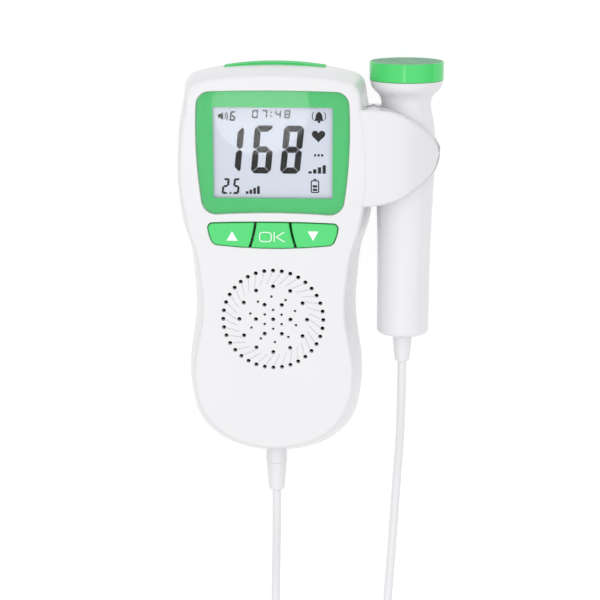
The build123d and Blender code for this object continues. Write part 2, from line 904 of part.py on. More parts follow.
def plug_boot():
    return boot(0, belt_height, plug_boot_radius, plug_boot_foot, plug_exit_y, plug_face_y - plug_length)


# ---------------------------------------------------------------- probe


def handle_stations():
    """Radius of the handle against Y, from the shoulder of the head down to the tail."""
    return [
        (head_radius - 0.3, head_foot - 0.1),
        (head_radius - 1.2, head_foot - 2.6),
        (neck_radius + 0.8, head_foot - 5.4),
        (neck_radius, head_foot - 8.4),
        (neck_radius + 0.55, head_foot - 12.6),
        (handle_radius - 0.45, head_foot - 18.2),
        (handle_radius, head_foot - 29.0),
        (handle_radius - 0.55, head_foot - 42.0),
        (tail_radius + 0.15, head_foot - 60.0),
        (tail_radius, tail_y + 2.2),
    ]


def handle_solid(inset):
    """The handle as a turned solid, whole or drawn in by inset."""
    stations = [(radius - inset, y) for radius, y in handle_stations()]
    top_r, top_y = stations[0]
    foot_r, foot_y = stations[-1]
    tail = tail_y + inset
    profile = make_face([
        Spline(*stations),
        Line((foot_r, foot_y), (foot_r, tail)),
        Line((foot_r, tail), (0, tail)),
        Line((0, tail), (0, top_y)),
        Line((0, top_y), (top_r, top_y)),
    ])
    solid = revolve(profile, Axis.Y)
    if not inset:
        solid = fillet(solid.edges().sort_by(Axis.Y)[0], tail_round)
    return Pos(probe_x, 0, probe_z) * solid


def probe_shells():
    """The handle's two half shells, with the spigot that the head sits on."""
    shell = handle_solid(0)
    shell += rod(probe_x, probe_z, spigot_radius, head_foot - 0.5, head_top - head_front - 0.6)
    shell -= handle_solid(probe_wall)
    shell -= rod(probe_x, probe_z, spigot_radius - spigot_wall, head_foot - 3, head_top)
    shell -= rod(probe_x, probe_z, tail_hole, tail_y - 1, tail_y + probe_wall + 2.2)
    halves = []
    for low, high in ((probe_z, probe_z + 20), (probe_z - 20, probe_z)):
        halves.append(shell & block(probe_x - 20, probe_x + 20, tail_y - 5, head_top + 5, low, high))
    return halves


def probe_cap():
    """The head: a round cup over the spigot, with a shallow seat for the contact face."""
    cup = rod(probe_x, probe_z, head_radius, head_foot, head_top)
    cup = fillet(cup.edges().sort_by(Axis.Y)[-1], 0.7)
    cup = fillet(cup.edges().group_by(Axis.Y)[0], 0.3)
    cup -= rod(probe_x, probe_z, head_radius - head_wall, head_foot - 1, head_top - head_front)
    return cup - rod(probe_x, probe_z, spigot_radius + 0.05, head_top - face_depth, head_top + 1)


def probe_face():
    return rod(probe_x, probe_z, spigot_radius, head_top - face_depth, head_top)


def crystals():
    """Two half-round crystals, one sends and one listens."""
    top = head_top - head_front
    half = crystal_parting / 2
    disc = rod(probe_x, probe_z, crystal_radius, top - crystal_thickness, top)
    parts = []
    for low, high in ((probe_z + half, probe_z + 20), (probe_z - 20, probe_z - half)):
        parts.append(disc & block(probe_x - 20, probe_x + 20, top - 5, top + 5, low, high))
    return Compound(children=parts)


def crystal_backing():
    top = head_top - head_front - crystal_thickness
    return rod(probe_x, probe_z, spigot_radius - spigot_wall - 0.2, top - backing_thickness, top)


def probe_board():
    half = probe_board_half_width
    thick = probe_board_thickness / 2
    return block(probe_x - half, probe_x + half, probe_board_foot, probe_board_head,
                 probe_z - thick, probe_z + thick)


def crystal_lead():
    backing_foot = head_top - head_front - crystal_thickness - backing_thickness
    return rod(probe_x, probe_z, lead_radius, probe_board_head, backing_foot)


def probe_boot():
    """Strain relief: an outer taper, a neck through the tail and a flange inside it."""
    seat = tail_y + probe_wall + 0.1
    outer = boot(probe_x, probe_z, boot_radius, boot_foot, boot_exit_y, boot_y)
    neck = rod(probe_x, probe_z, boot_neck, boot_y - 0.1, seat + boot_flange_thickness)
    return outer + neck + rod(probe_x, probe_z, boot_flange, seat, seat + boot_flange_thickness)


def probe_tail():
    seat = tail_y + probe_wall + 0.1
    return rod(probe_x, probe_z, cord_radius, seat + boot_flange_thickness, probe_board_foot)


# ---------------------------------------------------------------- inner leads


def tube(route, radius):
    """Straight runs joined by the largest tangent arcs that they allow, with the path and its radii."""
    points = [Vector(*p) for p in route]
    radii = []
    for a, b, c in zip(points, points[1:], points[2:]):
        turn = radians((b - a).get_angle(c - b))
        radii.append(0.45 * min((b - a).length, (c - b).length) / tan(turn / 2))
    path = FilletPolyline(*points, radius=radii)
    start = Plane(origin=points[0], z_dir=points[1] - points[0])
    return sweep(start * Circle(radius), path=path), path, radii


def socket_lead():
    """From the jack, over the battery bay, to the board's foot."""
    y = jack_y + jack_depth / 2
    over = bay_roof + lead_radius + 0.15
    run = board_foot - y
    route = [
        (jack_half, y, belt_height + 1.5),
        (jack_half + 3.5, y, belt_height + 1.5),
        (jack_half + 6.5, y + 0.5, belt_height + 3.4),
        (jack_half + 8.3, y + 2.4, over + 0.2),
        (jack_half + 8.7, y + 8.0, over + 0.1),
        (jack_half + 8.4, y + 0.31 * run, over),
        (jack_half + 8.8, y + 0.59 * run, over + 0.1),
        (jack_half + 8.4, board_foot - 8.0, over),
        (jack_half + 8.5, board_foot - lead_end_gap, board_height + board_thickness / 2),
    ]
    return tube(route, lead_radius)[0]


def speaker_lead():
    """From the rim of the speaker's basket to the board's foot."""
    x = -7.0
    route = [
        (x, speaker_y + 11.9, board_height + 4.7),
        (x, speaker_y + 14.7, board_height + 3.2),
        (x - 0.1, speaker_y + 17.3, board_height + 1.3),
        (x, board_foot - lead_end_gap, board_height + board_thickness / 2),
    ]
    return tube(route, speaker_lead_radius)[0]


# ---------------------------------------------------------------- cord


plug_route = [
    (0, plug_exit_y, belt_height),
    (0, -94.0, belt_height),
    (-0.3, -106.0, 11.2),
    (-0.9, -119.0, 5.6),
    (-1.3, -130.0, 2.5),
    (-1.3, -141.0, 1.75),
    (-0.4, -152.0, 1.65),
    (0.5, -162.0, 1.65),
]

probe_route = [
    (probe_x, boot_exit_y, probe_z),
    (probe_x, -45.0, probe_z),
    (probe_x, -57.0, 10.9),
    (44.9, -71.0, 5.6),
    (44.2, -84.0, 2.6),
    (43.5, -98.0, 1.75),
    (42.7, -113.0, 1.8),
    (41.8, -127.0, 1.7),
    (41.1, -139.0, 2.8),
    (40.4, -149.0, 6.6),
    (39.6, -158.0, 10.2),
]


def cord_tube(route, name):
    """A stretch of the cord along its route."""
    solid, path, radii = tube(route, cord_radius)
    share = solid.volume / (pi * cord_radius**2 * path.length)
    print(name, "length", round(path.length, 1), "volume share", round(share, 4),
          "radii", [round(r, 1) for r in radii])
    return solid


def coil_bundle():
    """Middle radius, radial width and height of the coil's bundle of turns."""
    middle = coil_outer_turn - coil_pitch * (coil_rings - 1) / 2
    width = coil_pitch * (coil_rings - 1) + 2 * cord_radius
    height = coil_pitch * (coil_layers - 1) + 2 * cord_radius
    return middle, width, height


def cord_coil():
    """The outer shape of the wound cord, pulled in where its tie sits."""
    middle, width, height = coil_bundle()
    ring = post(coil_x, coil_y, middle + width / 2, table_gap, height + table_gap)
    ring -= post(coil_x, coil_y, middle - width / 2, -1, height + 1)
    ring = fillet(ring.edges(), coil_round)
    return ring - cord_tie()


def cord_tie():
    """A strap round the coil's bundle, on the side away from the unit."""
    middle, width, height = coil_bundle()
    y = coil_y - middle
    half = tie_width / 2
    low, high = table_gap, height + table_gap
    hole = width / 2 - tie_thickness
    band = block(coil_x - half, coil_x + half, y - width / 2 - tie_reach, y + width / 2 + tie_reach, low, high)
    return band - block(coil_x - tie_width, coil_x + tie_width, y - hole, y + hole,
                        low + tie_thickness, high - tie_thickness)


# ---------------------------------------------------------------- build


write(front_housing(), "front_housing")
write(rear_housing(), "rear_housing")
write(battery_door(), "battery_door")
write(display_window(), "display_window")
write(window_border(), "window_border")
write(lcd_panel(), "lcd_panel")
write(lcd_frame(), "lcd_frame")
write(lcd_strips(), "lcd_strips")
write(main_pcb(), "main_pcb")
write(circuit_chips(), "circuit_chips")
write(pcb_screws(), "pcb_screws")
write(keypad_membrane(), "keypad_membrane")
for shape, node in zip(keys(), ("key_up", "key_ok", "key_down")):
    write(shape, node)
write(power_key(), "power_key")
write(power_switch(), "power_switch")
write(speaker_cloth(), "speaker_cloth")
write(speaker_frame(), "speaker_frame")
write(speaker_cone(), "speaker_cone")
write(speaker_magnet(), "speaker_magnet")
write(batteries(), "batteries")
write(battery_springs(), "battery_springs")
write(battery_contacts(), "battery_contacts")
write(housing_screws(), "housing_screws")
write(probe_socket(), "probe_socket")
write(socket_lead(), "socket_lead")
write(speaker_lead(), "speaker_lead")
write(plug_pin(), "plug_pin")
write(plug_shell(), "plug_shell")
write(plug_boot(), "plug_boot")
for shape, node in zip(probe_shells(), ("probe_shell_front", "probe_shell_rear")):
    write(shape, node)
write(probe_cap(), "probe_cap")
write(probe_face(), "probe_face")
write(crystals(), "crystals")
write(crystal_backing(), "crystal_backing")
write(probe_board(), "probe_board")
write(crystal_lead(), "crystal_lead")
write(probe_boot(), "probe_boot")
write(probe_tail(), "probe_tail")
write(cord_tube(plug_route, "cord_main"), "cord_main")
write(cord_tube(probe_route, "cord_probe"), "cord_probe")
write(cord_coil(), "cord_coil")
write(cord_tie(), "cord_tie")
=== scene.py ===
import json
import math

import bmesh
import bpy
import numpy as np
from mathutils import Matrix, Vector
from mathutils.geometry import delaunay_2d_cdt

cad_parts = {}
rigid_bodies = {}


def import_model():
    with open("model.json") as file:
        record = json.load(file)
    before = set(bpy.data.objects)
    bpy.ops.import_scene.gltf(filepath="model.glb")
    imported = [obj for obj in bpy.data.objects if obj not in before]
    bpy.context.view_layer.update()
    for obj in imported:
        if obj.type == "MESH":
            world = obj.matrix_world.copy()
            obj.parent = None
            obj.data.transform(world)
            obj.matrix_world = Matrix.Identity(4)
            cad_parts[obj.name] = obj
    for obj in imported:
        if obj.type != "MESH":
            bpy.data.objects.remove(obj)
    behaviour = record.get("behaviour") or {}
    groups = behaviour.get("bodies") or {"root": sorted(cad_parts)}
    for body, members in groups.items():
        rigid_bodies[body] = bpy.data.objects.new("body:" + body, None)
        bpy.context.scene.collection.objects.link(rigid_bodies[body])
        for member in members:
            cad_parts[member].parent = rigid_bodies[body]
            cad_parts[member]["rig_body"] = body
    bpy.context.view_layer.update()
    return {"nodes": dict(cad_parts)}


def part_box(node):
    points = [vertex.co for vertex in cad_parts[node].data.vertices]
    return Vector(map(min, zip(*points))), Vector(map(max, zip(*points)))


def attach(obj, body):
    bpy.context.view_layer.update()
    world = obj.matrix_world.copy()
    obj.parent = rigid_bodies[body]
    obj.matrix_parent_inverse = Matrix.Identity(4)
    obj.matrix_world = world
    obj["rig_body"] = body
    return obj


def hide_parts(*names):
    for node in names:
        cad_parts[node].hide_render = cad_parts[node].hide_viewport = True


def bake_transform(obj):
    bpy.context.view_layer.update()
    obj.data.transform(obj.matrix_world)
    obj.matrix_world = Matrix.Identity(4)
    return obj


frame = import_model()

nodes = frame["nodes"]
mm = 0.001

# ---------------------------------------------------------------- table, light and camera
# The monitor lies on its back on a plain table top of opal glass, lit softly from below. The light is a
# studio's: a white tent, bright overhead and dim towards the horizon, and two softboxes that the gloss
# mirrors.


def colour(code):
    """A linear colour from an sRGB hex code: each channel is taken back through the sRGB curve."""
    channels = [int(code[k:k + 2], 16) / 255 for k in (1, 3, 5)]
    linear = [c / 12.92 if c <= 0.04045 else ((c + 0.055) / 1.055) ** 2.4 for c in channels]
    return (*linear, 1.0)


def add(tree, kind, values=None, **settings):
    """One shader node: its settings, and its inputs, each a value or an output that feeds it."""
    node = tree.nodes.new(kind)
    for name, value in settings.items():
        setattr(node, name, value)
    for name, value in (values or {}).items():
        if isinstance(value, bpy.types.NodeSocket):
            tree.links.new(value, node.inputs[name])
        else:
            node.inputs[name].default_value = value
    return node


def own_place(tree, scale=(1.0, 1.0, 1.0)):
    """The piece's own coordinates in metres, stretched along each axis."""
    place = add(tree, "ShaderNodeTexCoord").outputs["Object"]
    return add(tree, "ShaderNodeMapping", {"Vector": place, "Scale": scale}).outputs["Vector"]


def ramp(tree, source, stops):
    """Colours or greys at given places along a value from 0 to 1."""
    node = add(tree, "ShaderNodeValToRGB", {"Fac": source})
    band = node.color_ramp
    while len(band.elements) < len(stops):
        band.elements.new(0.5)
    for element, (place, value) in zip(band.elements, stops):
        element.position = place
        element.color = colour(value) if isinstance(value, str) else (value, value, value, 1.0)
    return node.outputs["Color"]


def speckle(tree, size_mm, detail=2.0, stretch=(1.0, 1.0, 1.0)):
    """Soft noise whose spots are about size_mm across."""
    inputs = {"Vector": own_place(tree, stretch), "Scale": 1 / (size_mm * mm), "Detail": detail}
    return add(tree, "ShaderNodeTexNoise", inputs).outputs["Fac"]


def vary(look, target, pattern, *stops):
    """Spreads colours or greys along a pattern, into one input of the shader."""
    tree = look.node_tree
    tree.links.new(ramp(tree, pattern, stops), tree.nodes["Principled BSDF"].inputs[target])


def material(name, base, tones=(), rough=(), grain=(), **values):
    """A material of one principled shader, with its uniform values set on the shader's own inputs.

    tones and rough are each the size in mm and the detail of a noise, then the stops of colour or roughness
    along it. grain is such a noise too, then its depth in mm and its strength as a tilt of the normal."""
    look = bpy.data.materials.new(name)
    look.use_nodes = True
    tree = look.node_tree
    shader = tree.nodes["Principled BSDF"]
    shader.inputs["Base Color"].default_value = colour(base)
    for key, value in values.items():
        shader.inputs[key.replace("_", " ")].default_value = value
    for target, spread in (("Base Color", tones), ("Roughness", rough)):
        if spread:
            vary(look, target, speckle(tree, *spread[:2]), *spread[2:])
    if grain:
        size_mm, detail, depth_mm, strength, *stretch = grain
        height = speckle(tree, size_mm, detail, *stretch)
        tilt = {"Height": height, "Distance": depth_mm * mm, "Strength": strength}
        bump = add(tree, "ShaderNodeBump", tilt)
        tree.links.new(bump.outputs["Normal"], shader.inputs["Normal"])
    return look


def linked(name, data):
    """An object in the scene for a mesh, light, camera or curve."""
    made = bpy.data.objects.new(name, data)
    bpy.context.scene.collection.objects.link(made)
    return made


table_drop = 0.15 * mm
table_half = 3.0
table_mesh = bpy.data.meshes.new("table_top")
square = [(x * table_half, y * table_half, -table_drop) for x, y in ((-1, -1), (1, -1), (1, 1), (-1, 1))]
table_mesh.from_pydata(square, [], [(0, 1, 2, 3)])
table = linked("table_top", table_mesh)
# Matt opal glass: it glows by itself and still takes a faint shadow, uneven enough not to look drawn.
table_mesh.materials.append(material(
    "opal_glass", "#68686A", tones=(60.0, 2.0, (0.3, "#666668"), (0.7, "#6A6A6C")),
    Roughness=0.75, Specular_IOR_Level=0.2, Emission_Color=colour("#FFFFFF"), Emission_Strength=0.88,
))

world = bpy.data.worlds.new("tent")
bpy.context.scene.world = world
world.use_nodes = True
tree = world.node_tree
tree.nodes["Background"].inputs["Color"].default_value = (1.0, 1.0, 1.0, 1.0)
sky = add(tree, "ShaderNodeSeparateXYZ", {"Vector": add(tree, "ShaderNodeTexCoord").outputs["Generated"]})
horizon_light = 0.3
zenith_light = 1.44
crown_light = 0.25  # how much brighter the tent's wall is beyond the crown
glows = []
for axis, start, end, least, most in (("Z", 0.05, 0.95, horizon_light, zenith_light),
                                      ("Y", 0.3, 1.0, 0.0, crown_light)):
    span = {"Value": sky.outputs[axis], "From Min": start, "From Max": end, "To Min": least, "To Max": most}
    glows.append(add(tree, "ShaderNodeMapRange", span).outputs["Result"])
both = add(tree, "ShaderNodeMath", dict(enumerate(glows)), operation="ADD")
tree.links.new(both.outputs["Value"], tree.nodes["Background"].inputs["Strength"])


def aimed(place, aim):
    """The rotation of a camera or lamp that looks from its place at its aim, its top towards the crown."""
    z = np.subtract(place, aim)
    z /= np.linalg.norm(z)
    x = np.cross((0.0, 1.0, 0.0), z)
    x /= np.linalg.norm(x)
    y = np.cross(z, x)
    return Matrix(np.array([x, y, z]).T.tolist())


def lamp(name, shape, size, place, aim, watts):
    """An area light, its size in metres, aimed at a point."""
    data = bpy.data.lights.new(name, "AREA")
    data.shape = shape
    data.size = size
    data.energy = watts
    light = linked(name, data)
    light.location = place
    light.rotation_mode = "QUATERNION"
    light.rotation_quaternion = aimed(place, aim).to_quaternion()
    return light


lamp("window_softbox", "DISK", 0.112, (-0.100, -0.112, 1.33), (0.0, 0.056, 0.03), 0.14)
strip = lamp("strip_softbox", "RECTANGLE", 0.05, (-0.20, 0.02, 1.33), (0.04, 0.02, 0.03), 0.5)
strip.data.size_y = 1.2

camera_place = (0.03585, 0.1278, 0.5709)
camera_aim = (0.00854, -0.01398, 0.014)
camera_data = bpy.data.cameras.new("camera")
camera_data.sensor_width = 36.0
camera_data.lens = 96.72
camera_data.clip_start = 0.01
camera_data.clip_end = 20.0
camera = linked("camera", camera_data)
camera.matrix_world = Matrix.Translation(camera_place) @ aimed(camera_place, camera_aim).to_4x4()
bpy.context.scene.camera = camera
bpy.context.scene.view_settings.view_transform = "Standard"

# ---------------------------------------------------------------- probe cord
# One thin lead of soft white PVC joins the plug in the chin to the probe. Its spare length is wound into a
# small coil, two turns wide and four high, and the coil is held by a strap.


def join(parts):
    """Several point arrays with their faces as one, in millimetres."""
    points, faces, start = [], [], 0
    for part_points, part_faces in parts:
        points.append(np.asarray(part_points, float).reshape(-1, 3))
        faces += [[start + corner for corner in face] for face in part_faces]
        start += len(points[-1])
    return np.vstack(points), faces


def grid(points, around=False, along=False):
    """The quads of a grid of points; around closes its columns and along closes its rows."""
    rows, columns = points.shape[:2]
    index = np.arange(rows * columns).reshape(rows, columns)
    if around:
        index = np.hstack([index, index[:, :1]])
    if along:
        index = np.vstack([index, index[:1]])
    quads = np.stack([index[:-1, :-1], index[:-1, 1:], index[1:, 1:], index[1:, :-1]], axis=-1)
    return points.reshape(-1, 3), quads.reshape(-1, 4).tolist()


def cap(ring):
    """One flat face over a ring of points."""
    return ring, [list(range(len(ring)))]


def piece(name, parts, look, replaced=(), body=None, crease=35.0):
    """A welded mesh from parts in mm, smooth up to the crease angle, that stands for its CAD nodes."""
    points, faces = join(parts)
    mesh = bpy.data.meshes.new(name)
    mesh.from_pydata((points * mm).tolist(), [], faces)
    work = bmesh.new()
    work.from_mesh(mesh)
    bmesh.ops.remove_doubles(work, verts=work.verts, dist=weld_distance)
    bmesh.ops.recalc_face_normals(work, faces=work.faces)
    work.to_mesh(mesh)
    work.free()
    mesh.shade_smooth()
    mesh.set_sharp_from_angle(angle=math.radians(crease))
    mesh.materials.append(look)
    made = linked(name, mesh)
    even = made.modifiers.new("even_normals", "WEIGHTED_NORMAL")
    even.keep_sharp = True
    if replaced:
        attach(made, body or nodes[replaced[0]]["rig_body"])
        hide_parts(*replaced)
    elif body:
        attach(made, body)
    return made


weld_distance = 2e-6
cord_radius = 1.55
coil_centre = (20.0, -165.0)
coil_pitch = 3.15
coil_outer_turn = 19.5
coil_floor = 1.6
coil_turn_count = 8
coil_first_angle = 193.8
coil_last_angle = 360 * coil_turn_count - 2.9
coil_wind_angle = 390  # where the first change of place begins
points_per_turn = 16

plug_route = [
    (0, -85.4, 14),
    (0, -94, 14),
    (-0.3, -106, 11.2),
    (-0.9, -119, 5.6),
    (-1.3, -130, 2.5),
    (-1.3, -141, 1.75),
    (-0.4, -152, 1.65),
    (0.5, -162, 1.65),
]
probe_route = [
    (45.2, -35.8, 14),
    (45.2, -45, 14),
    (45.2, -57, 10.9),
    (44.9, -71, 5.6),
    (44.2, -84, 2.6),
    (43.5, -98, 1.75),
    (42.7, -113, 1.8),
    (41.8, -127, 1.7),
    (41.1, -139, 2.8),
    (40.4, -149, 6.6),
    (39.6, -158, 10.2),
]


def coil_turns():
    """Points of the wound length: the turns go in and out and up a layer at a time, on the near side.

    A turn's place is a whole number, outer or inner and its layer, and a third of a turn takes the lead
    from one place to the next."""
    count = round((coil_last_angle - coil_first_angle) * points_per_turn / 360)
    angle = np.linspace(coil_first_angle, coil_last_angle, count + 1)
    turn = (angle - coil_wind_angle) / 360
    place = np.clip(np.floor(turn) + np.clip((turn - np.floor(turn)) * 3, 0, 1), 0, coil_turn_count - 1)
    place = np.where(turn < 0, 0, place)
    order = np.arange(coil_turn_count)
    inner = np.isin(order % 4, (1, 2)).astype(float)
    layer = order // 2
    radius = np.interp(place, order, coil_outer_turn - coil_pitch * inner)
    height = np.interp(place, order, coil_floor + coil_pitch * layer)
    polygon = 1 / (0.5 + 0.5 * math.cos(math.pi / points_per_turn) ** 2)
    a = np.radians(angle)
    x = coil_centre[0] + polygon * radius * np.cos(a)
    y = coil_centre[1] + polygon * radius * np.sin(a)
    return np.column_stack([x, y, height]).tolist()


route = plug_route + coil_turns() + probe_route[::-1]
line_data = bpy.data.curves.new("cord_line", "CURVE")
line_data.dimensions = "3D"
line_data.resolution_u = 8
spline = line_data.splines.new("NURBS")
spline.points.add(len(route) - 1)
spline.points.foreach_set("co", np.column_stack([np.array(route) * mm, np.ones(len(route))]).ravel())
spline.order_u = 3
spline.use_endpoint_u = True
line = linked("cord_line", line_data)
read = bpy.data.meshes.new_from_object(line)
cord_path = np.array([v.co for v in read.vertices]) / mm
bpy.data.objects.remove(line)


def tube_around(path, radius, sides=14):
    """Rings round a path that is never upright, each a circle across the path's own direction."""
    ahead = np.gradient(path, axis=0)
    ahead /= np.linalg.norm(ahead, axis=1)[:, None]
    across = np.cross(ahead, (0.0, 0.0, 1.0))
    across /= np.linalg.norm(across, axis=1)[:, None]
    up = np.cross(across, ahead)
    turn = 2 * np.pi * np.arange(sides) / sides
    ring = np.cos(turn)[None, :, None] * across[:, None] + np.sin(turn)[None, :, None] * up[:, None]
    return path[:, None] + radius * ring


# Soft PVC jacket, extruded: a satin white skin with a very fine grain.
jacket = material("white_pvc_jacket", "#E2E2E4", rough=(4.0, 3.0, (0.35, 0.36), (0.65, 0.48)),
                  grain=(0.6, 2.0, 0.01, 0.3), Roughness=0.42, IOR=1.52)

cord_rings = tube_around(cord_path, cord_radius)
cord = piece("probe_cord", [grid(cord_rings, around=True), cap(cord_rings[0]), cap(cord_rings[-1])], jacket)
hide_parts("cord_main", "cord_coil", "cord_probe")
# The coil and the plug's end stay, and the leg to the probe follows it out of the clip.
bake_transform(cord)

# The strap: a soft white band, once round the bundle, its end pressed on itself.
tie_low, tie_high = (np.array(corner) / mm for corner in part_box("cord_tie"))
tie_round = 2.2
tie_wall = 0.7


def unit(a):
    """Unit vectors in the plane at given angles."""
    return np.column_stack([np.cos(a), np.sin(a)])


def box_line(x0, x1, y0, y1, radius, steps=5):
    """A rectangle with rounded corners, counterclockwise, as points and outward normals."""
    a = np.radians(np.linspace(0, 90, steps))
    points, normals = [], []
    for cx, cy, start in ((x1 - radius, y1 - radius, 0), (x0 + radius, y1 - radius, 90),
                          (x0 + radius, y0 + radius, 180), (x1 - radius, y0 + radius, 270)):
        normal = unit(a + math.radians(start))
        points.append(np.array([cx, cy]) + radius * normal)
        normals.append(normal)
    return np.vstack(points), np.vstack(normals)


def strap():
    """A closed band: inner and outer rounded rectangles, carried across its width with eased edges."""
    ease = 0.18
    stations = [
        (tie_low[0], tie_wall / 2), (tie_low[0], ease), (tie_low[0] + ease, 0), (tie_high[0] - ease, 0),
        (tie_high[0], ease), (tie_high[0], tie_wall / 2), (tie_high[0], tie_wall), (tie_low[0], tie_wall),
    ]
    rows = []
    for x, inset in stations:
        (_, y0, z0), (_, y1, z1) = tie_low + inset, tie_high - inset
        flat = box_line(y0, y1, z0, z1, tie_round - inset, 6)[0]
        rows.append(np.column_stack([np.full(len(flat), x), flat]))
    return grid(np.array(rows), around=True, along=True)


strap_skin = material("white_strap", "#E6E6E8", grain=(0.5, 2.0, 0.06, 0.5, (4.0, 1.0, 1.0)), Roughness=0.6)
tie = piece("cord_strap", [strap()], strap_skin, ["cord_tie"])

# ---------------------------------------------------------------- inside the case
# What the case holds: cells and contacts, the circuit board with its chips, the keypad rubber, the switch,
# the speaker and the jack with its leads. Little of it shows, and each keeps its CAD shape.


def dress(look, *names):
    """The material on CAD nodes."""
    for name in names:
        slots = nodes[name].data.materials
        slots.clear()
        slots.append(look)


def moulded(name, base, rough, spots_mm=1.5, depth_mm=0.01):
    """A moulded or cast surface: its colour, a roughness that varies a little, and a fine relief."""
    shade = (6.0, 3.0, (0.3, rough - 0.05), (0.7, rough + 0.06))
    return material(name, base, rough=shade, grain=(spots_mm, 2.0, depth_mm, 0.5), Roughness=rough)


# Glass-fibre board: green solder mask, a little darker where there is no copper under it.
mask = material("green_solder_mask", "#1E6B3A", Roughness=0.35)
tree = mask.node_tree
tracks = add(tree, "ShaderNodeTexWave", {"Vector": own_place(tree), "Scale": 130.0, "Distortion": 4.0})
vary(mask, "Base Color", tracks.outputs["Fac"], (0.45, "#185A30"), (0.6, "#257A45"))
dress(mask, "main_pcb", "probe_board")

dress(moulded("black_epoxy_package", "#17181A", 0.55), "circuit_chips", "power_switch", "probe_socket")
dress(moulded("silicone_keypad", "#D9D9D4", 0.6), "keypad_membrane")
dress(moulded("striped_contact_rubber", "#C79AB0", 0.6), "lcd_strips")
dress(moulded("white_diffuser", "#F4F4EE", 0.5), "lcd_frame")
dress(moulded("red_wire_skin", "#B3211C", 0.45), "speaker_lead", "socket_lead", "crystal_lead")

# Rolled and stamped metal, plated: fine streaks of 0.1 mm from the roll, some duller than others.
metal = material("plated_steel", "#C9CACD", Metallic=1.0, Roughness=0.3)
lines = speckle(metal.node_tree, 0.8, 2.0, (1.0, 8.0, 1.0))
vary(metal, "Roughness", lines, (0.3, 0.22), (0.7, 0.42))
dress(metal, "battery_springs", "battery_contacts", "pcb_screws", "housing_screws", "plug_pin")

# Zinc-carbon or alkaline cells: a printed steel can, dark with a copper-coloured end.
can = material("printed_cell_can", "#3A3D44", Metallic=0.6, Roughness=0.35)
tree = can.node_tree
along = add(tree, "ShaderNodeSeparateXYZ", {"Vector": own_place(tree)}).outputs["Y"]
share = add(tree, "ShaderNodeMapRange", {"Value": along, "From Min": -0.0515, "From Max": -0.0007})
vary(can, "Base Color", share.outputs["Result"],
     (0.0, "#2E3138"), (0.74, "#33363E"), (0.76, "#B98A54"), (1.0, "#C0935C"))
dress(can, "batteries")

# Pressed black steel basket, its paper cone and the sintered magnet behind.
dress(moulded("black_lacquered_steel", "#1B1B1D", 0.4), "speaker_frame")
dress(moulded("pressed_paper_cone", "#26241F", 0.85, 0.8, 0.05), "speaker_cone")
dress(moulded("sintered_ferrite", "#3E3E41", 0.6, 0.6, 0.04), "speaker_magnet")

# Fine black cloth under the speaker holes, its threads aslant.
cloth = material("black_speaker_cloth", "#0B0B0C", Roughness=0.95, Specular_IOR_Level=0.15)
threads = {"Vector": own_place(cloth.node_tree), "Scale": 400.0}
weave = add(cloth.node_tree, "ShaderNodeTexWave", threads, bands_direction="DIAGONAL")
vary(cloth, "Base Color", weave.outputs["Fac"], (0.2, "#070708"), (0.8, "#141416"))
dress(cloth, "speaker_cloth")

dress(moulded("silvered_ceramic", "#CFC6AC", 0.4), "crystals")
dress(moulded("cork_filled_backing", "#4B4640", 0.9, 0.8, 0.06), "crystal_backing")
dress(jacket, "probe_tail")

# ---------------------------------------------------------------- outlines shared by the case's pieces
# The case is moulded in two shells of glossy white ABS that meet at the belt, its widest line. The belt is
# a smooth line through points, and the sides lean in from it towards the front face.

unit_length = 140.0
unit_thickness = 30.5
belt_height = 14.0
wall = 2.2
crown_y = unit_length / 2
chin_y = -unit_length / 2
screen_half_width = 34.3
widest_y = crown_y - 36.7
waist_y = crown_y - 82.6
bulge_y = chin_y + 29.5
band_top, band_foot = 17.4, 8.6

belt_right = np.array([
    (0, 70.0), (14.0, 69.44), (22.0, 68.49), (27.0, 67.2), (29.6, 65.9), (30.9, 63.9), (31.7, 59.4),
    (33.0, 52.8), (34.0, 42.8), (34.3, 33.3), (33.9, 22.8), (32.6, 14.5), (30.5, 8.0), (29.1, -2.0),
    (28.4, -12.6), (29.3, -24.5), (30.6, -33.0), (30.9, -40.5), (30.0, -49.1), (27.7, -56.9),
    (23.7, -62.1), (18.4, -66.0), (10.4, -68.8), (0, -70.0),
])


def smooth_line(points, steps, closed=False):
    """A line through points whose slope and curvature run on: cubic spans, timed by the points' distances.

    The second derivatives solve one linear system, whose ends are free or joined."""
    p = np.asarray(points, float)
    if closed:
        p = np.vstack([p, p[:1]])
    h = np.linalg.norm(np.diff(p, axis=0), axis=1)
    slope = np.diff(p, axis=0) / h[:, None]
    n = len(h)
    size = n if closed else n + 1
    matrix, right = np.eye(size), np.zeros((size, p.shape[1]))
    for k in range(0 if closed else 1, n):
        before, after = (k - 1) % n, k
        matrix[k, k] = 2 * (h[before] + h[after])
        matrix[k, (k - 1) % size] = h[before]
        matrix[k, (k + 1) % size] = h[after]
        right[k] = 6 * (slope[after] - slope[before])
    bend = np.linalg.solve(matrix, right)
    if closed:
        bend = np.vstack([bend, bend[:1]])
    share = np.linspace(0, 1, steps, endpoint=False)[None, :, None]
    width = h[:, None, None]
    b = share * width
    a = width - b
    line_points = (
        (bend[:-1, None] * a**3 + bend[1:, None] * b**3) / (6 * width)
        + (p[:-1, None] / width - bend[:-1, None] * width / 6) * a
        + (p[1:, None] / width - bend[1:, None] * width / 6) * b
    ).reshape(-1, p.shape[1])
    return line_points if closed else np.vstack([line_points, p[-1:]])


belt_left = belt_right[-2:0:-1] * (-1, 1)
belt = smooth_line(np.vstack([belt_right, belt_left]), 9, closed=True)[::-1]


def drawn_in(inset):
    """The belt line moved in towards the middle by an inset, which may differ from point to point."""
    shares = [1 - inset / screen_half_width, 1 - inset / crown_y]
    return belt * np.column_stack(shares)


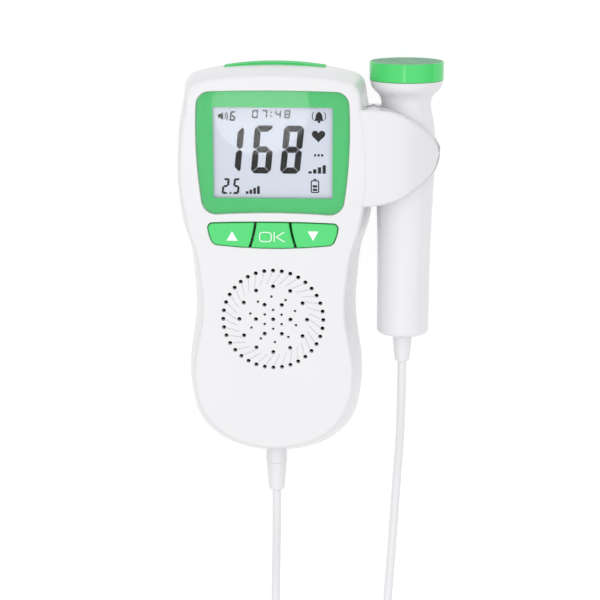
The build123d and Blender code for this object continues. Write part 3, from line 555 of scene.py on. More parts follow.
def front_draw(y):
    """How far the front face's edge lies inside the belt, eased from place to place along Y."""
    places = np.array([chin_y, bulge_y, waist_y, band_top, widest_y, crown_y])
    draws = np.array([5.9, 3.3, 4.6, 3.6, 2.1, 2.1])
    k = np.clip(np.searchsorted(places, y) - 1, 0, len(places) - 2)
    share = np.clip((y - places[k]) / (places[k + 1] - places[k]), 0, 1)
    return draws[k] + (draws[k + 1] - draws[k]) * share**2 * (3 - 2 * share)


def at_height(flat, z):
    """Flat points stood at one height."""
    return np.column_stack([flat, np.full(len(flat), z)])


# ---------------------------------------------------------------- front shell
# Glossy white ABS, moulded in a polished tool, 2.2 mm thick. It has a stepped seat for the window, one
# opening for the keys, a ring of speaker holes with fine swirl grooves, and the front claw of the clip.


def circle_through(a, b, c):
    """Centre and radius of the circle through three points, where the bisectors of two chords cross."""
    a, b, c = (np.array(p, float) for p in (a, b, c))
    matrix = 2 * np.array([b - a, c - a])
    centre = np.linalg.solve(matrix, [b @ b - a @ a, c @ c - a @ a])
    return centre, np.linalg.norm(a - centre)


def meeting(first, second, near):
    """The point nearest a hint where two circles cross."""
    (c0, r0), (c1, r1) = first, second
    way = c1 - c0
    gap = np.linalg.norm(way)
    way /= gap
    foot = (gap**2 + r0**2 - r1**2) / (2 * gap)
    aside = math.sqrt(max(r0**2 - foot**2, 0))
    both = [c0 + foot * way + side * aside * np.array([-way[1], way[0]]) for side in (1, -1)]
    return min(both, key=lambda p: np.linalg.norm(p - near))


def outline(sides, corners, radii, step=0.8, corner_steps=9):
    """A closed outline of arcs with rounded corners, counterclockwise, as points and outward normals.

    A side is a circle's centre, its radius, and 1 if it bulges or -1 if it is hollow. A corner's arc has
    its centre where the sides' circles, moved in by its radius, cross."""
    count = len(sides)
    hubs = []
    for k in range(count):
        moved_in = [(centre, radius - sign * radii[k]) for centre, radius, sign in (sides[k - 1], sides[k])]
        hubs.append(meeting(*moved_in, corners[k]))
    points, normals = [], []
    for k in range(count):
        angles = []
        for centre, radius, sign in (sides[k - 1], sides[k]):
            way = sign * (hubs[k] - centre)
            angles.append(math.atan2(way[1], way[0]))
        turn = (angles[1] - angles[0]) % (2 * math.pi)
        normal = unit(angles[0] + turn * np.linspace(0, 1, corner_steps))
        points.append(hubs[k] + radii[k] * normal)
        normals.append(normal)
        centre, radius, sign = sides[k]
        way = sign * (hubs[(k + 1) % count] - centre)
        run = math.remainder(math.atan2(way[1], way[0]) - angles[1], 2 * math.pi)
        steps = max(int(abs(run) * radius / step), 2)
        normal = unit(angles[1] + run * np.linspace(0, 1, steps + 1)[1:-1])
        points.append(centre + sign * radius * normal)
        normals.append(normal)
    return np.vstack(points), np.vstack(normals)


def four_sides(low_corner, side, high_corner, top, foot, foot_sign):
    """Corners and sides of a shape that is the same left and right.

    Each side lies on the circle through two corners and the point given between them."""
    corners = [low_corner, high_corner, (-high_corner[0], high_corner[1]), (-low_corner[0], low_corner[1])]
    middles = [side, (0, top), (-side[0], side[1]), (0, foot)]
    sides = []
    for k, sign in enumerate((1, 1, 1, foot_sign)):
        sides.append((*circle_through(corners[k], middles[k], corners[(k + 1) % 4]), sign))
    return corners, sides


# The window's foot is hollow, to follow the keys below it, and the keys' opening bulges all round.
window_corners, window_sides = four_sides((23.6, 19.85), (26.0, 43.9), (25.5, 61.9), 62.4, 20.85, -1)
window_line = outline(window_sides, window_corners, [5.0, 4.5, 4.5, 5.0])
band_corners, band_sides = four_sides((20.4, 9.8), (21.95, 13.8), (22.3, 16.9), band_top, band_foot, 1)
band_radii = [2.2, 1.5]
band_line = outline(band_sides, band_corners, band_radii + band_radii[::-1])


def ring_line(x, y, radius, steps):
    """A round outline as points and outward normals."""
    normal = unit(2 * np.pi * np.arange(steps) / steps)
    return np.array([x, y]) + radius * normal, normal


def slit_line(start, end, half, steps=5):
    """A slit with round ends, as points and outward normals."""
    way = math.atan2(*np.subtract(end, start)[::-1])
    a = np.radians(np.linspace(-90, 90, steps)) + way
    normal = unit(np.concatenate([a, a + math.pi]))
    return np.repeat([end, start], steps, axis=0) + half * normal, normal


# Rings of speaker holes: how many, the ring's radius, the first one's angle, their own radius, their points.
grille_rings = (
    (1, 0.0, 0.0, 0.72, 20), (6, 6.0, 0.0, 0.72, 20), (12, 11.8, 0.0, 0.72, 20), (36, 17.43, 0.0, 0.72, 20),
    (6, 3.4, 30.0, 0.47, 16), (10, 8.2, 22.0, 0.47, 16),
)
speaker_y = -16.9


def on_grille(radius, degrees):
    """A place on the speaker's front, from its middle."""
    a = math.radians(degrees)
    return radius * math.cos(a), speaker_y + radius * math.sin(a)


holes = []
for count, radius, first, hole_radius, steps in grille_rings:
    for k in range(count):
        holes.append(ring_line(*on_grille(radius, first + 360 * k / count), hole_radius, steps))
# A fine slanting groove runs inwards from beside each hole of the outer ring.
groove_half, groove_depth, groove_ease = 0.15, 0.3, 0.06
groove_out, groove_in = 16.3, 12.9
grooves = []
for degrees in range(0, 360, 10):
    start, end = on_grille(groove_in, degrees + 10), on_grille(groove_out, degrees + 1.5)
    grooves.append(slit_line(start, end, groove_half))


def flat_face(outer, openings, z):
    """Triangles over a flat outline, less its openings: those whose middles lie within."""
    loops = [outer, *openings]
    flat = np.vstack(loops)
    edges, start = [], 0
    for loop in loops:
        edges += [(start + k, start + (k + 1) % len(loop)) for k in range(len(loop))]
        start += len(loop)
    made = delaunay_2d_cdt([tuple(p) for p in flat.tolist()], edges, [], 0, 1e-6)
    points = np.array([tuple(p) for p in made[0]])
    faces = np.array(made[2])
    middle = points[faces].mean(1)
    crossings = np.zeros(len(middle), int)
    for loop in loops:
        a, b = loop, np.roll(loop, -1, axis=0)
        spans = (a[None, :, 1] > middle[:, None, 1]) != (b[None, :, 1] > middle[:, None, 1])
        height = np.where(b[:, 1] == a[:, 1], 1.0, b[:, 1] - a[:, 1])
        at = a[None, :, 0] + (middle[:, None, 1] - a[None, :, 1]) * ((b - a)[:, 0] / height)[None, :]
        crossings += (spans & (at > middle[:, None, 0])).sum(1)
    return at_height(points, z), faces[crossings % 2 == 1].tolist()


def lip(line, ease, top, foot, grow=0.0, steps=5):
    """The edge of an opening: a quarter round from the face into a wall that goes down to foot."""
    points, normals = line
    rows = []
    for a in np.radians(np.linspace(0, 90, steps)):
        flat = points + (grow + ease * (1 - math.sin(a))) * normals
        rows.append(at_height(flat, top - ease * (1 - math.cos(a))))
    rows.append(at_height(points + grow * normals, foot))
    return grid(np.array(rows), around=True)


front_round = 1.6
side_power = 1.3
seam_half = 0.1
rise = unit_thickness - belt_height
inner_top = unit_thickness - wall


def front_side():
    """The outer side from the belt seam to the face's rim: an eased lean, then an arc that ends level.

    The lean draws the side in with the height's share to the power of side_power."""
    draw = front_draw(belt[:, 1])
    lean = np.arctan(side_power * draw / rise)
    reach = front_round * np.tan((np.pi / 2 - lean) / 2)
    arc_level = 1 - reach * np.cos(lean) / rise
    rows = []
    for inset, lift in ((0.7, 0.0), (0.1, 0.0), (0.02, 0.1)):
        rows.append(at_height(drawn_in(np.full(len(belt), inset)), belt_height + seam_half + lift))
    for share in np.linspace(0.025, 1.0, 11):
        level = share * arc_level
        z = belt_height + level * rise
        rows.append(np.column_stack([drawn_in(draw * level**side_power), z]))
    last = draw * arc_level**side_power
    for share in np.linspace(0, 1, 8)[1:]:
        a = lean + (np.pi / 2 - lean) * share
        hub = last + front_round * np.cos(lean)
        inset = hub - front_round * np.cos(a)
        z = unit_thickness - front_round + front_round * np.sin(a)
        rows.append(np.column_stack([drawn_in(inset), z]))
    return np.array(rows)


def front_inner_side():
    """The inner side, a wall's thickness in, from the inner face down to the seam."""
    draw = front_draw(belt[:, 1])
    rows = []
    for level in (inner_top - belt_height) / rise * np.array([1.0, 0.75, 0.5, 0.25, 0.0]):
        z = belt_height + seam_half + level * rise * (1 - seam_half / (inner_top - belt_height))
        rows.append(at_height(drawn_in(draw * level**side_power + wall), z))
    return np.array(rows)


# Polished ABS: white with a trace of blue, a high gloss, a faint long-wave ripple where it shrank over its
# ribs, and a little haze where hands have been.
abs_white = material(
    "white_polished_abs", "#E1E1E3", tones=(30.0, 2.0, (0.3, "#E0E0E2"), (0.7, "#E2E2E4")),
    rough=(18.0, 2.0, (0.35, 0.22), (0.7, 0.27)), grain=(5.0, 0.0, 0.02, 0.06), Roughness=0.24, IOR=1.46,
)

hole_ease = 0.12
opening_ease = 0.25
window_gap = 0.15
band_gap = 0.3
window_seat = unit_thickness - 1.5
window_ledge = 1.8
outer_side = front_side()
inner_side = front_inner_side()
face_rim = outer_side[-1][:, :2]
inner_rim = inner_side[0][:, :2]


def grown(line_pair, by):
    """The points of an outline moved outwards."""
    return line_pair[0] + by * line_pair[1]


openings = [grown(window_line, window_gap + opening_ease), grown(band_line, band_gap + opening_ease)]
openings += [grown(hole, hole_ease) for hole in holes]
openings += [grown(groove, groove_ease) for groove in grooves]
ledge_line = grown(window_line, -window_ledge)
behind = [ledge_line, grown(band_line, band_gap), *(hole[0] for hole in holes)]
seat_line = grown(window_line, window_gap)
window_step = [(seat_line, window_seat), (ledge_line, window_seat), (ledge_line, inner_top)]

parts = [
    grid(outer_side, around=True),
    flat_face(face_rim, openings, unit_thickness),
    flat_face(inner_rim, behind, inner_top),
    grid(inner_side, around=True),
    grid(np.array([inner_side[-1], outer_side[0]]), around=True),
    lip(window_line, opening_ease, unit_thickness, window_seat, window_gap),
    grid(np.array([at_height(*row) for row in window_step]), around=True),
    lip(band_line, opening_ease, unit_thickness, inner_top, band_gap),
]
parts += [lip(hole, hole_ease, unit_thickness, inner_top) for hole in holes]
groove_floor = unit_thickness - groove_depth
for groove in grooves:
    parts.append(lip(groove, groove_ease, unit_thickness, groove_floor, steps=3))
    parts.append(cap(at_height(groove[0], groove_floor)))

# The clip's front claw: a leaf-shaped wing that runs on from the face, flush, and goes round the probe.
probe_x = 45.2
probe_z = belt_height
claw_bore = 10.75
claw_outer = 12.1
claw_root = 27.0
claw_parting = 0.4
claw_ease = 0.3
clip_top, clip_foot = 56.15, 23.15
claw_tip = (probe_x + claw_outer + 0.05, clip_foot + 15.95)
leaf_upper = smooth_line([
    (claw_root, clip_top - 0.1), (probe_x - 10.2, clip_top), (probe_x - 3.6, clip_top - 1.2),
    (probe_x + 1.9, clip_top - 4.0), (probe_x + 7.4, clip_top - 8.2), (probe_x + 11.4, clip_top - 13.55),
    claw_tip,
], 12)
leaf_lower = smooth_line([
    claw_tip, (probe_x + 10.3, clip_foot + 11.0), (probe_x + 5.0, clip_foot + 6.6),
    (probe_x - 0.4, clip_foot + 3.1), (probe_x - 5.9, clip_foot + 1.0), (probe_x - 11.0, clip_foot + 0.1),
    (claw_root, clip_foot),
], 12)[::-1]
# The web's outer line in X and height over the probe's axis. It starts a hundredth over the face.
face_rise = unit_thickness + 0.01 - probe_z
web_line = smooth_line([
    (claw_root, face_rise), (31.5, face_rise), (35.5, face_rise - 0.25), (40.0, face_rise - 0.85),
    (probe_x, face_rise - 2.15), (50.5, 11.1), (54.6, 7.4), (56.9, 2.2),
    (probe_x + claw_outer, claw_parting),
], 8)


def claw():
    """At each step along the web line, a rounded box between it, the bore and the leaf's two edges.

    A point of the line faces the bore's point at its own angle, which the cube of its share along the line
    stretches to 180 degrees at the root."""
    outer = web_line[::-1]
    share = np.linspace(0, 1, len(outer))
    turn = np.degrees(np.arctan2(outer[:, 1], outer[:, 0] - probe_x))
    turn = np.radians(turn + (180 - turn.max()) * share**3)
    inner = claw_bore * unit(turn) + (probe_x, 0.0)
    (low_out, high_out), (low_in, high_in) = (
        [np.interp(line[:, 0], leaf[:, 0], leaf[:, 1]) for leaf in (leaf_lower, leaf_upper)]
        for line in (outer, inner)
    )
    depth_ease = np.minimum(claw_ease / np.linalg.norm(outer - inner, axis=1), 0.45)
    span_ease = np.minimum(claw_ease / (high_out - low_out), 0.45)
    quarter = np.radians(np.linspace(0, 90, 5))
    corner = np.column_stack([1 - np.cos(quarter), 1 - np.sin(quarter)])
    rows = []
    # Round the box counterclockwise: u runs from the outer line to the inner one, v from low to high.
    for far, over, order in ((0, 0, 1), (0, 1, -1), (1, 1, 1), (1, 0, -1)):
        for along, across in corner[::order]:
            u = abs(far - depth_ease * along)
            v = abs(over - span_ease * across)
            flat = outer + (inner - outer) * u[:, None]
            low = low_out + (low_in - low_out) * u
            high = high_out + (high_in - high_out) * u
            rows.append(np.column_stack([flat[:, 0], low + (high - low) * v, probe_z + flat[:, 1]]))
    rings = np.array(rows).transpose(1, 0, 2)
    return [grid(rings, around=True), cap(rings[0]), cap(rings[-1])]


piece("front_shell", parts + claw(), abs_white, ["front_housing"], crease=30.0)

# ---------------------------------------------------------------- rear shell
# The back half is the same polished ABS, and keeps its CAD shape with the rear claw of the clip. The
# battery door slides on it and has the finer grain that its own tool gives it.

abs_grained = material(
    "white_grained_abs", "#E0E0E2", rough=(15.0, 4.0, (0.3, 0.3), (0.7, 0.42)),
    grain=(0.5, 3.0, 0.02, 0.35), Roughness=0.34, IOR=1.46,
)
dress(abs_white, "rear_housing")
dress(abs_grained, "battery_door")

# ---------------------------------------------------------------- display
# A clear acrylic window over a printed green border, and behind it the liquid crystal glass: pale blue
# grey, with dark segments that stand just on it. The figures and the small marks are plain ones.


def plate(line_pair, foot, top, ease, holes_in=()):
    """A flat plate with an eased upper edge, and openings through it."""
    rows = [at_height(line_pair[0], foot)]
    for a in np.radians(np.linspace(0, 90, 5)):
        rows.append(at_height(grown(line_pair, -ease * (1 - math.cos(a))), top - ease * (1 - math.sin(a))))
    made = [grid(np.array(rows), around=True)]
    made += [flat_face(rows[-1][:, :2], holes_in, top), flat_face(line_pair[0], holes_in, foot)]
    for hole in holes_in:
        made.append(grid(np.array([at_height(hole, foot), at_height(hole, top)]), around=True))
    return made


view_half, view_low, view_high = 20.375, 25.625, 56.775
window_over = unit_thickness - 0.3
window_under = window_over - 1.0
ink_over, ink_under = window_under - 0.01, window_under - 0.2
glass_top = 28.0

# Clear polished acrylic: it passes light straight through and mirrors more of it at a slant.
clear = bpy.data.materials.new("clear_acrylic")
clear.use_nodes = True
tree = clear.node_tree
tree.nodes.remove(tree.nodes["Principled BSDF"])
# Its mirror share is the same on both faces: 1.3 percent face on, and more with the slant's fifth power.
facing = add(tree, "ShaderNodeLayerWeight", {"Blend": 0.5}).outputs["Facing"]
steep = add(tree, "ShaderNodeMath", {0: facing, 1: 5.0}, operation="POWER").outputs["Value"]
slant = add(tree, "ShaderNodeMapRange", {"Value": steep, "To Min": 0.0132, "To Max": 1.0}).outputs["Result"]
through = add(tree, "ShaderNodeBsdfTransparent", {"Color": (0.99, 0.995, 0.99, 1.0)}).outputs["BSDF"]
mirror = add(tree, "ShaderNodeBsdfGlossy", {"Roughness": 0.02}).outputs["BSDF"]
mix = add(tree, "ShaderNodeMixShader", {"Fac": slant})
tree.links.new(through, mix.inputs[1])
tree.links.new(mirror, mix.inputs[2])
tree.links.new(mix.outputs["Shader"], tree.nodes["Material Output"].inputs["Surface"])
piece("clear_window", plate(window_line, window_under, window_over, 0.2), clear, ["display_window"])

# Screen-printed green ink on the back of the window: even, with the slight mottle of a screened layer.
ink = material("green_screen_print", "#47BD6E", tones=(2.0, 3.0, (0.3, "#45BB6C"), (0.7, "#49BF70")),
               Roughness=0.4, Specular_IOR_Level=0.2)
view_line = box_line(-view_half, view_half, view_low, view_high, 0.3)[0]
piece("green_border", plate(window_line, ink_under, ink_over, 0.02, [view_line]), ink, ["window_border"])

# Liquid crystal glass with its grey rear film: satin, pale blue grey, very slightly uneven.
dress(material(
    "liquid_crystal_glass", "#CFD3E2", tones=(25.0, 1.0, (0.3, "#CED2E1"), (0.7, "#D0D4E3")),
    Roughness=0.3, Specular_IOR_Level=0.2,
), "lcd_panel")

# Dark segments: dyed liquid crystal, near black with a trace of blue.
segment = material("dark_segment", "#111113", tones=(3.0, 2.0, (0.3, "#0F0F11"), (0.7, "#131315")),
                   Roughness=0.4, Specular_IOR_Level=0.1)
segment_height = 0.04


def slab_of(polygons, foot, top):
    """Flat shapes stood up as thin closed slabs."""
    made = []
    for polygon in polygons:
        flat = np.asarray(polygon, float)
        low, high = at_height(flat, foot), at_height(flat, top)
        made += [grid(np.array([low, high]), around=True), cap(low), cap(high)]
    return made


# The bars that each figure lights: a at the top, b to f round from there by the right, and g in the middle.
lit_bars = {
    "0": "abcdef", "1": "bc", "2": "abged", "4": "fgbc",
    "5": "afgcd", "6": "afgedc", "7": "abc", "8": "abcdefg",
}


def figure_bars(width, height, thick, cut):
    """The seven bars of a figure, upright, each cut off along the corners' diagonals and at outer corners.

    The top bar and the upper right one are drawn, and the others are these, mirrored across the middles."""
    half, level = width / 2, height / 2
    tip, shoulder, waist = half - thick / 2, half - thick, thick / 2
    outer_end, inner_end = (half - cut / 2, level - cut / 2), (shoulder, level - thick)
    top = np.array([
        (cut - half, level), (half - cut, level), outer_end, inner_end, (-inner_end[0], inner_end[1]),
        (-outer_end[0], outer_end[1]),
    ])
    side = np.array([
        outer_end, (half, level - cut), (half, thick * 0.3), (tip, 0), (shoulder, waist), inner_end,
    ])
    middle = np.array([
        (-tip, 0), (-shoulder, waist), (shoulder, waist), (tip, 0), (shoulder, -waist), (-shoulder, -waist),
    ])
    across, up = np.array([-1, 1]), np.array([1, -1])
    return {"a": top, "b": side, "c": side * up, "d": top * up, "e": -side, "f": side * across, "g": middle}


def figure(text, x, y, width, height, thick, gap, lean=0.13, pitch=0.0):
    """Leaning seven-bar figures from a lower left corner, each bar drawn in by a gap to its own middle."""
    bars = figure_bars(width, height, thick, thick * 0.55)
    shapes = []
    for place, sign in enumerate(text):
        for bar in lit_bars[sign]:
            shape = bars[bar]
            middle = shape.mean(0)
            size = np.ptp(shape, axis=0)
            shape = middle + (shape - middle) * (1 - gap / size) + (width / 2 + place * pitch, height / 2)
            shapes.append(np.column_stack([x + shape[:, 0] + lean * shape[:, 1], y + shape[:, 1]]))
    return shapes


def ribbon(path, weight, closed=False):
    """A flat stroke of one weight along a path, as quads with mitred corners."""
    p = np.array(path, float)
    before = np.roll(p, 1, axis=0)
    after = np.roll(p, -1, axis=0)
    if not closed:
        before[0], after[-1] = 2 * p[0] - p[1], 2 * p[-1] - p[-2]
    a = (p - before) / np.linalg.norm(p - before, axis=1)[:, None]
    b = (after - p) / np.linalg.norm(after - p, axis=1)[:, None]
    way = a + b
    way /= np.linalg.norm(way, axis=1)[:, None]
    miter = np.clip((way * a).sum(1), 0.5, 1)
    side = np.column_stack([-way[:, 1], way[:, 0]]) * (weight / 2 / miter)[:, None]
    left, right = p + side, p - side
    count = len(p)
    return [[left[k], left[(k + 1) % count], right[(k + 1) % count], right[k]]
            for k in range(count if closed else count - 1)]


def arc(x, y, radius, start, end, steps=12):
    """Points along an arc, in degrees."""
    return (x, y) + radius * unit(np.radians(np.linspace(start, end, steps)))


def heart(x, y, width, height):
    """A plain heart: x goes as the cube of the sine, y as a sum of four cosines."""
    t = np.linspace(0, 2 * np.pi, 40, endpoint=False)
    across = np.sin(t) ** 3
    up = (13 * np.cos(t) - 5 * np.cos(2 * t) - 2 * np.cos(3 * t) - np.cos(4 * t)) / 17
    return np.column_stack([x + width / 2 * across, y + height / 1.9 * up])


def box(x0, x1, y0, y1, radius, steps=5):
    """The points alone of a box with rounded corners."""
    return box_line(x0, x1, y0, y1, radius, steps)[0]


# The rate, large in the middle.
shapes = figure("1", -18.75, 33.95, 7.6, 16.5, 2.3, 0.15, 0.1)
shapes += figure("68", -7.75, 33.95, 7.0, 16.6, 2.3, 0.15, 0.1, 9.95)
# The loudness at the top left, and the frequency with its point at the lower left.
shapes += figure("6", -14.8, 51.95, 1.9, 3.35, 0.62, 0.06)
for sign, x in (("2", -17.8), ("5", -14.1)):
    shapes += figure(sign, x, 26.8, 2.35, 5.5, 0.82, 0.06)
shapes.append(box(-14.95, -14.3, 26.85, 27.5, 0.15))
# A plain count of minutes and seconds at the top.
for pair, x in (("07", -7.1), ("48", 0.7)):
    shapes += figure(pair, x, 52.95, 1.95, 2.75, 0.45, 0.03, 0.08, 3.15)
for dot_y in (53.5, 54.7):
    shapes.append(box(-0.85, -0.35, dot_y, dot_y + 0.5, 0.1))
# Loudness: a small horn with two arcs.
shapes.append([(-18.6, 53.0), (-17.9, 53.0), (-16.9, 52.2), (-16.9, 55.0), (-17.9, 54.2), (-18.6, 54.2)])
for reach in (1.2, 1.9):
    shapes += ribbon(arc(-17.2, 53.6, reach, -45, 45), 0.32)
# Alarm: a bell with its clapper and an arc on each side.
bell_x, bell_y = 15.65, 51.95
right_rim = [(1.8, 0.2), (1.25, 0.85), (1.1, 2.2), (0.55, 3.0), (0.0, 3.3)]
rim = right_rim + [(-px, py) for px, py in right_rim[-2::-1]]
shapes.append([(bell_x + px, bell_y + py) for px, py in rim])
shapes.append(arc(bell_x, bell_y - 0.1, 0.48, 0, 330, 11))
for flip in (-1, 1):
    shapes += ribbon([(bell_x + flip * px, py) for px, py in arc(0, bell_y + 1.75, 2.25, -30, 40)], 0.28)
shapes.append(heart(15.5, 47.1, 4.6, 4.65))
# Charge of the cells: a small upright battery with two bars.
shapes += ribbon(box(13.1, 15.6, 27.6, 31.6, 0.35), 0.4, closed=True)
shapes.append(box(13.85, 14.85, 31.9, 32.3, 0.1))
for k in range(2):
    shapes.append(box(13.6, 15.1, 28.1 + 1.2 * k, 28.9 + 1.2 * k, 0.1))
# Strength of the echo: rising bars, and a plain row of dots.
for k in range(4):
    shapes.append(box(-9.4 + 1.3 * k, -8.45 + 1.3 * k, 26.9, 27.8 + 0.6 * k, 0.1))
    shapes.append(box(12.1 + 1.6 * k, 13.25 + 1.6 * k, 34.1, 34.9 + 0.7 * k, 0.1))
for k in range(3):
    shapes.append(box(14.0 + 1.2 * k, 14.75 + 1.2 * k, 40.0, 40.8, 0.15))
segments = slab_of(shapes, glass_top - 0.01, glass_top + segment_height)
piece("display_segments", segments, segment, body="main_unit")

# ---------------------------------------------------------------- keys
# Three caps of light green ABS in one curved opening, satin, with white marks printed on them. They part
# along two slanting arcs, and each rides on its own body.

key_parting = 0.4
key_proud = 0.5
key_foot = 26.0
key_top = unit_thickness + key_proud
key_corner = 0.45
key_ease = 0.32
parting_points = [(5.7, band_top + 3), (6.7, 13.0), (9.25, band_foot - 3)]


def parting_at(offset):
    """The circle of the parting arc on the right, moved sideways."""
    return circle_through(*((x + offset, y) for x, y in parting_points))


def mirrored(line_pair):
    """The outline on the other side of the middle, still counterclockwise."""
    points, normals = line_pair
    return points[::-1] * (-1, 1), normals[::-1] * (-1, 1)


right_edge, left_edge = parting_at(key_parting), parting_at(-key_parting)
far_edge = (left_edge[0] * (-1, 1), left_edge[1])
band_right, top_side, _, foot_side = band_sides
parting_sign = 1 if right_edge[0][0] > 0 else -1
down_sides = [band_right, top_side, (*right_edge, parting_sign), foot_side]
down_corners = [
    *band_corners[:2], meeting(right_edge, top_side[:2], (6.0, band_top)),
    meeting(right_edge, foot_side[:2], (8.5, band_foot)),
]
down_line = outline(down_sides, down_corners, [*band_radii, key_corner, key_corner], 0.6, 7)
middle_sides = [(*left_edge, -parting_sign), top_side, (*far_edge, -parting_sign), foot_side]
middle_corners = [
    meeting(left_edge, foot_side[:2], (8.0, band_foot)), meeting(left_edge, top_side[:2], (5.5, band_top)),
    meeting(far_edge, top_side[:2], (-5.5, band_top)), meeting(far_edge, foot_side[:2], (-8.0, band_foot)),
]
middle_line = outline(middle_sides, middle_corners, [key_corner] * 4, 0.6, 7)

mark_heights = (key_top - 0.01, key_top + 0.03)
mark_weight = 0.3
letter_o = ribbon(box(-4.5, -0.5, 10.9, 14.1, 1.0, 6), mark_weight, closed=True)
strokes = [(0.5, 10.8), (0.5, 14.2)], [(3.9, 14.2), (1.2, 12.5), (4.1, 10.8)], [(0.5, 12.5), (1.25, 12.5)]
letter_k = [quad for stroke in strokes for quad in ribbon(stroke, mark_weight)]
up_mark = [(-15.9, 11.1), (-12.1, 11.1), (-14.0, 14.4)]
down_mark = [(12.0, 14.6), (13.85, 11.3), (15.7, 14.6)]

# Light green ABS, satin: brighter than the window's border, with a soft sheen. The print is a white ink.
key_green = material("green_satin_abs", "#43D16D", rough=(10.0, 3.0, (0.3, 0.26), (0.7, 0.36)),
                     grain=(1.2, 2.0, 0.01, 0.3), Roughness=0.3, IOR=1.53)
print_white = material("white_pad_print", "#F7F7F5", rough=(1.0, 2.0, (0.3, 0.4), (0.7, 0.52)),
                       Roughness=0.45)
for name, node, line_pair in (
    ("up_key_cap", "key_up", mirrored(down_line)),
    ("middle_key_cap", "key_ok", middle_line),
    ("down_key_cap", "key_down", down_line),
):
    piece(name, plate(line_pair, key_foot, key_top, key_ease), key_green, [node])
for name, body, mark in (
    ("up_mark", "up_key", [up_mark]),
    ("middle_mark", "ok_key", letter_o + letter_k),
    ("down_mark", "down_key", [down_mark]),
):
    made = piece(name, slab_of(mark, *mark_heights), print_white, body=body)

# ---------------------------------------------------------------- power key
# A crescent over the crown, low and hardly proud of the case. Its dull green ABS has the fine face of a
# spark-eroded tool.

power_green = material(
    "green_dull_abs", "#4CCB6E", rough=(6.0, 3.0, (0.3, 0.4), (0.7, 0.52)), grain=(0.8, 2.0, 0.01, 0.3),
    Roughness=0.45, Specular_IOR_Level=0.12,
)
power_half, power_rise, power_back = 17.5, 0.62, 65.2
power_heights = (belt_height - 3.9, belt_height + 2.5)
power_end, power_flank = (power_half, crown_y - 0.75), (12.5, crown_y - 0.07)
power_edge = smooth_line([
    power_end, power_flank, (0.0, crown_y + power_rise), (-power_flank[0], power_flank[1]),
    (-power_end[0], power_end[1]),
], 10)
crescent = [(-power_half, power_back), (power_half, power_back), *power_edge.tolist()]
piece("power_key_cap", slab_of([crescent], *power_heights), power_green, ["power_key"])

# ---------------------------------------------------------------- probe
# A turned handle in two halves of glossy white ABS, a green head over its spigot and a contact face whose
# grey green is painted shade.
# The halves meet beside the axis and are 1.8 mm thick.

head_top = 71.05
head_foot = head_top - 6.3
head_radius = 12.75
neck_radius = 8.55
handle_radius = 10.4
tail_radius = 9.2
tail_y = -25.1
tail_round = 1.5
tail_hole = 3.1
handle_wall = 1.8
spigot_radius = head_radius - 1.65
spigot_top = head_top - 2.0
# Radius and Y from the shoulder under the head, by the neck and the grip, to the tail.
handle_stations = [
    (head_radius - 0.2, head_foot - 0.1), (head_radius - 0.9, head_foot - 2.6),
    (neck_radius + 0.8, head_foot - 5.4), (neck_radius, head_foot - 8.4),
    (neck_radius + 0.75, head_foot - 12.6), (handle_radius - 0.2, head_foot - 18.2),
    (handle_radius, head_foot - 29.0), (handle_radius - 0.55, head_foot - 42.0),
    (tail_radius + 0.15, head_foot - 60.0), (tail_radius, tail_y + 2.2),
]


def turned(profile, x, z, start=0.0, end=360.0, steps=72):
    """A profile of radius and Y turned about an axis along Y, the whole way or part of it."""
    profile = np.asarray(profile, float)
    whole = abs(end - start) >= 360
    a = np.radians(np.linspace(start, end, steps, endpoint=not whole))
    rows = np.stack([
        x + profile[:, 0, None] * np.cos(a), np.broadcast_to(profile[:, 1, None], (len(profile), steps)),
        z + profile[:, 0, None] * np.sin(a),
    ], axis=-1)
    return grid(rows, around=whole)


def eased(corners, radii, steps=6):
    """A profile through corners, each rounded by an arc of its own radius between two tangent points."""
    corners = [np.array(c, float) for c in corners]
    out = [corners[0]]
    for before, corner, after, radius in zip(corners, corners[1:], corners[2:], radii[1:]):
        if radius <= 0:
            out.append(corner)
            continue
        lengths = [np.linalg.norm(end - corner) for end in (before, after)]
        a, b = (before - corner) / lengths[0], (after - corner) / lengths[1]
        half = math.acos(np.clip(a @ b, -1, 1)) / 2
        reach = min(radius / math.tan(half), 0.49 * min(lengths))
        radius = reach * math.tan(half)
        hub = corner + (a + b) / np.linalg.norm(a + b) * radius / math.sin(half)
        first, last = corner + a * reach - hub, corner + b * reach - hub
        angle = math.atan2(first[0] * last[1] - first[1] * last[0], first @ last)
        for t in angle * np.linspace(0, 1, steps):
            out.append(hub + first * math.cos(t) + np.array([-first[1], first[0]]) * math.sin(t))
    out.append(corners[-1])
    return np.array(out)


handle_curve = smooth_line(handle_stations, 8)
tail_hub = (tail_radius - tail_round, tail_y + tail_round)
tail_arc = tail_hub + tail_round * unit(np.radians(np.linspace(0, -90, 8)))
tail_floor = tail_y + handle_wall
handle_profile = np.vstack([
    [(spigot_radius, spigot_top), (spigot_radius, head_foot - 0.1)], handle_curve, tail_arc,
    [(tail_hole, tail_y), (tail_hole, tail_floor), (tail_radius - handle_wall, tail_floor)],
    handle_curve[::-1] - (handle_wall, 0), [(spigot_radius - 1.5, spigot_top)],
])
seam_turn = 0.55
half_steps = 44
for name, node, start in (("handle_front_half", "probe_shell_front", seam_turn),
                          ("handle_rear_half", "probe_shell_rear", 180 + seam_turn)):
    half = turned(handle_profile, probe_x, probe_z, start, start + 180 - 2 * seam_turn, half_steps)
    rows = half[0].reshape(-1, half_steps, 3)
    parts = [half, cap(rows[:, 0]), cap(rows[:, -1]), grid(rows[[0, -1]])]
    piece(name, parts, abs_white, [node], crease=40.0)

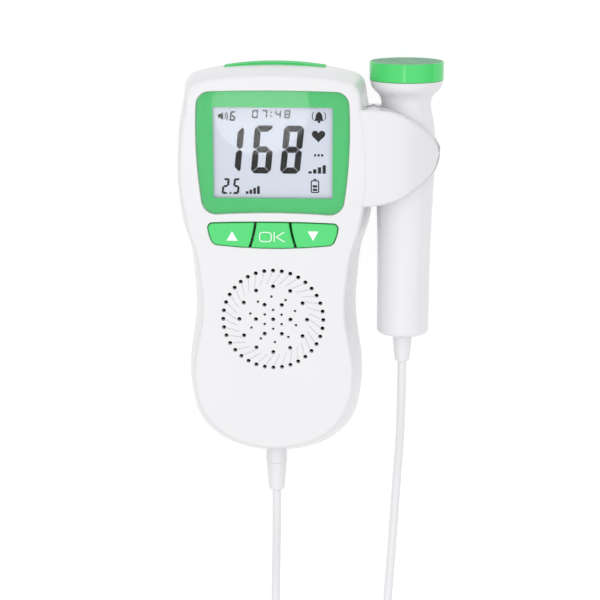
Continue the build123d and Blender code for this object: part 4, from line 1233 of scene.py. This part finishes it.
# Polished green ABS of the head: a cup whose rim stands round the contact face.
head_green = material(
    "green_gloss_abs", "#47CF6B", tones=(20.0, 2.0, (0.3, "#45CD69"), (0.7, "#49D16D")),
    rough=(8.0, 3.0, (0.3, 0.09), (0.7, 0.15)), grain=(3.0, 2.0, 0.01, 0.2), Roughness=0.12, IOR=1.46,
)
on_axis = 0.001
cup_inside = head_radius - 1.55
rim_radius = head_radius - 0.5
cup_floor, cup_under = head_top - 0.5, head_top - 1.4
cup = eased([
    (rim_radius, cup_floor), (rim_radius, head_top), (head_radius, head_top), (head_radius, head_foot),
    (cup_inside, head_foot), (cup_inside, cup_under), (on_axis, cup_under),
], [0, 0.1, 0.35, 0.35, 0.15, 0], 7)
cup = np.vstack([[(on_axis, cup_floor)], cup])
piece("probe_head", [turned(cup, probe_x, probe_z, steps=96)], head_green, ["probe_cap"])

# Contact face: satin, gently crowned at its rim. Its grey green, darker and greyer than the head's green, is
# painted shade with a painted pale sheen on the head's top.
face_shade_look = material(
    "contact_face_painted_shade", "#5E9A77", tones=(5.0, 3.0, (0.3, "#5A9673"), (0.7, "#639F7C")),
    rough=(2.0, 3.0, (0.3, 0.34), (0.7, 0.5)), Roughness=0.4, Specular_IOR_Level=0.15,
)
face_radius = rim_radius - 0.04
face_under = cup_floor + 0.01
face = eased([
    (on_axis, face_under), (face_radius, face_under), (face_radius, head_top), (on_axis, head_top),
], [0, 0, 0.2], 5)
piece("contact_face", [turned(face, probe_x, probe_z)], face_shade_look, ["probe_face"])

# ---------------------------------------------------------------- plug and sleeves
# The plug's collar is white ABS and sits in the chin. Both sleeves are soft white PVC, tapered and rounded
# where the cord comes out, and the probe's has a neck that holds it in the handle's tail.

plug_top = chin_y + 0.9
plug_foot = chin_y - 4.6
plug_exit = plug_foot - 10.8
plug_radius = 3.8
pin_radius = 1.8
collar = eased([
    (pin_radius, plug_top), (plug_radius, plug_top), (plug_radius, plug_foot), (on_axis, plug_foot),
], [0, 0.35, 0.3], 5)
collar = np.vstack([[(on_axis, plug_top)], collar])
piece("plug_collar", [turned(collar, 0, belt_height, steps=48)], abs_white, ["plug_shell"])


def sleeve(x, top, foot, top_radius, foot_radius):
    """A tapered sleeve, rounded at its foot, with a hole for the cord."""
    corners = [(sleeve_bore, top), (top_radius, top), (foot_radius, foot), (sleeve_bore, foot)]
    profile = eased(corners, [0, 0.2, 0.8])
    return turned(np.vstack([profile, profile[:1]]), x, belt_height, steps=48)


sleeve_bore = 1.5
plug_sleeve = piece("plug_sleeve", [sleeve(0, plug_foot, plug_exit, 3.66, 2.85)], jacket, ["plug_boot"])
boot_top = tail_y - 1.2
boot_length = 9.5
boot_neck, boot_flange = tail_hole - 0.1, 4.6
neck_foot, flange_foot, flange_top = boot_top - 0.1, tail_floor + 0.1, tail_floor + 1.7
neck_profile = [
    (sleeve_bore, neck_foot), (boot_neck, neck_foot), (boot_neck, flange_foot), (boot_flange, flange_foot),
    (boot_flange, flange_top), (sleeve_bore, flange_top), (sleeve_bore, neck_foot),
]
boot = sleeve(probe_x, boot_top, boot_top - boot_length, 3.47, 2.55)
neck = turned(neck_profile, probe_x, probe_z, steps=48)
piece("probe_sleeve", [boot, neck], jacket, ["probe_boot"], crease=40.0)
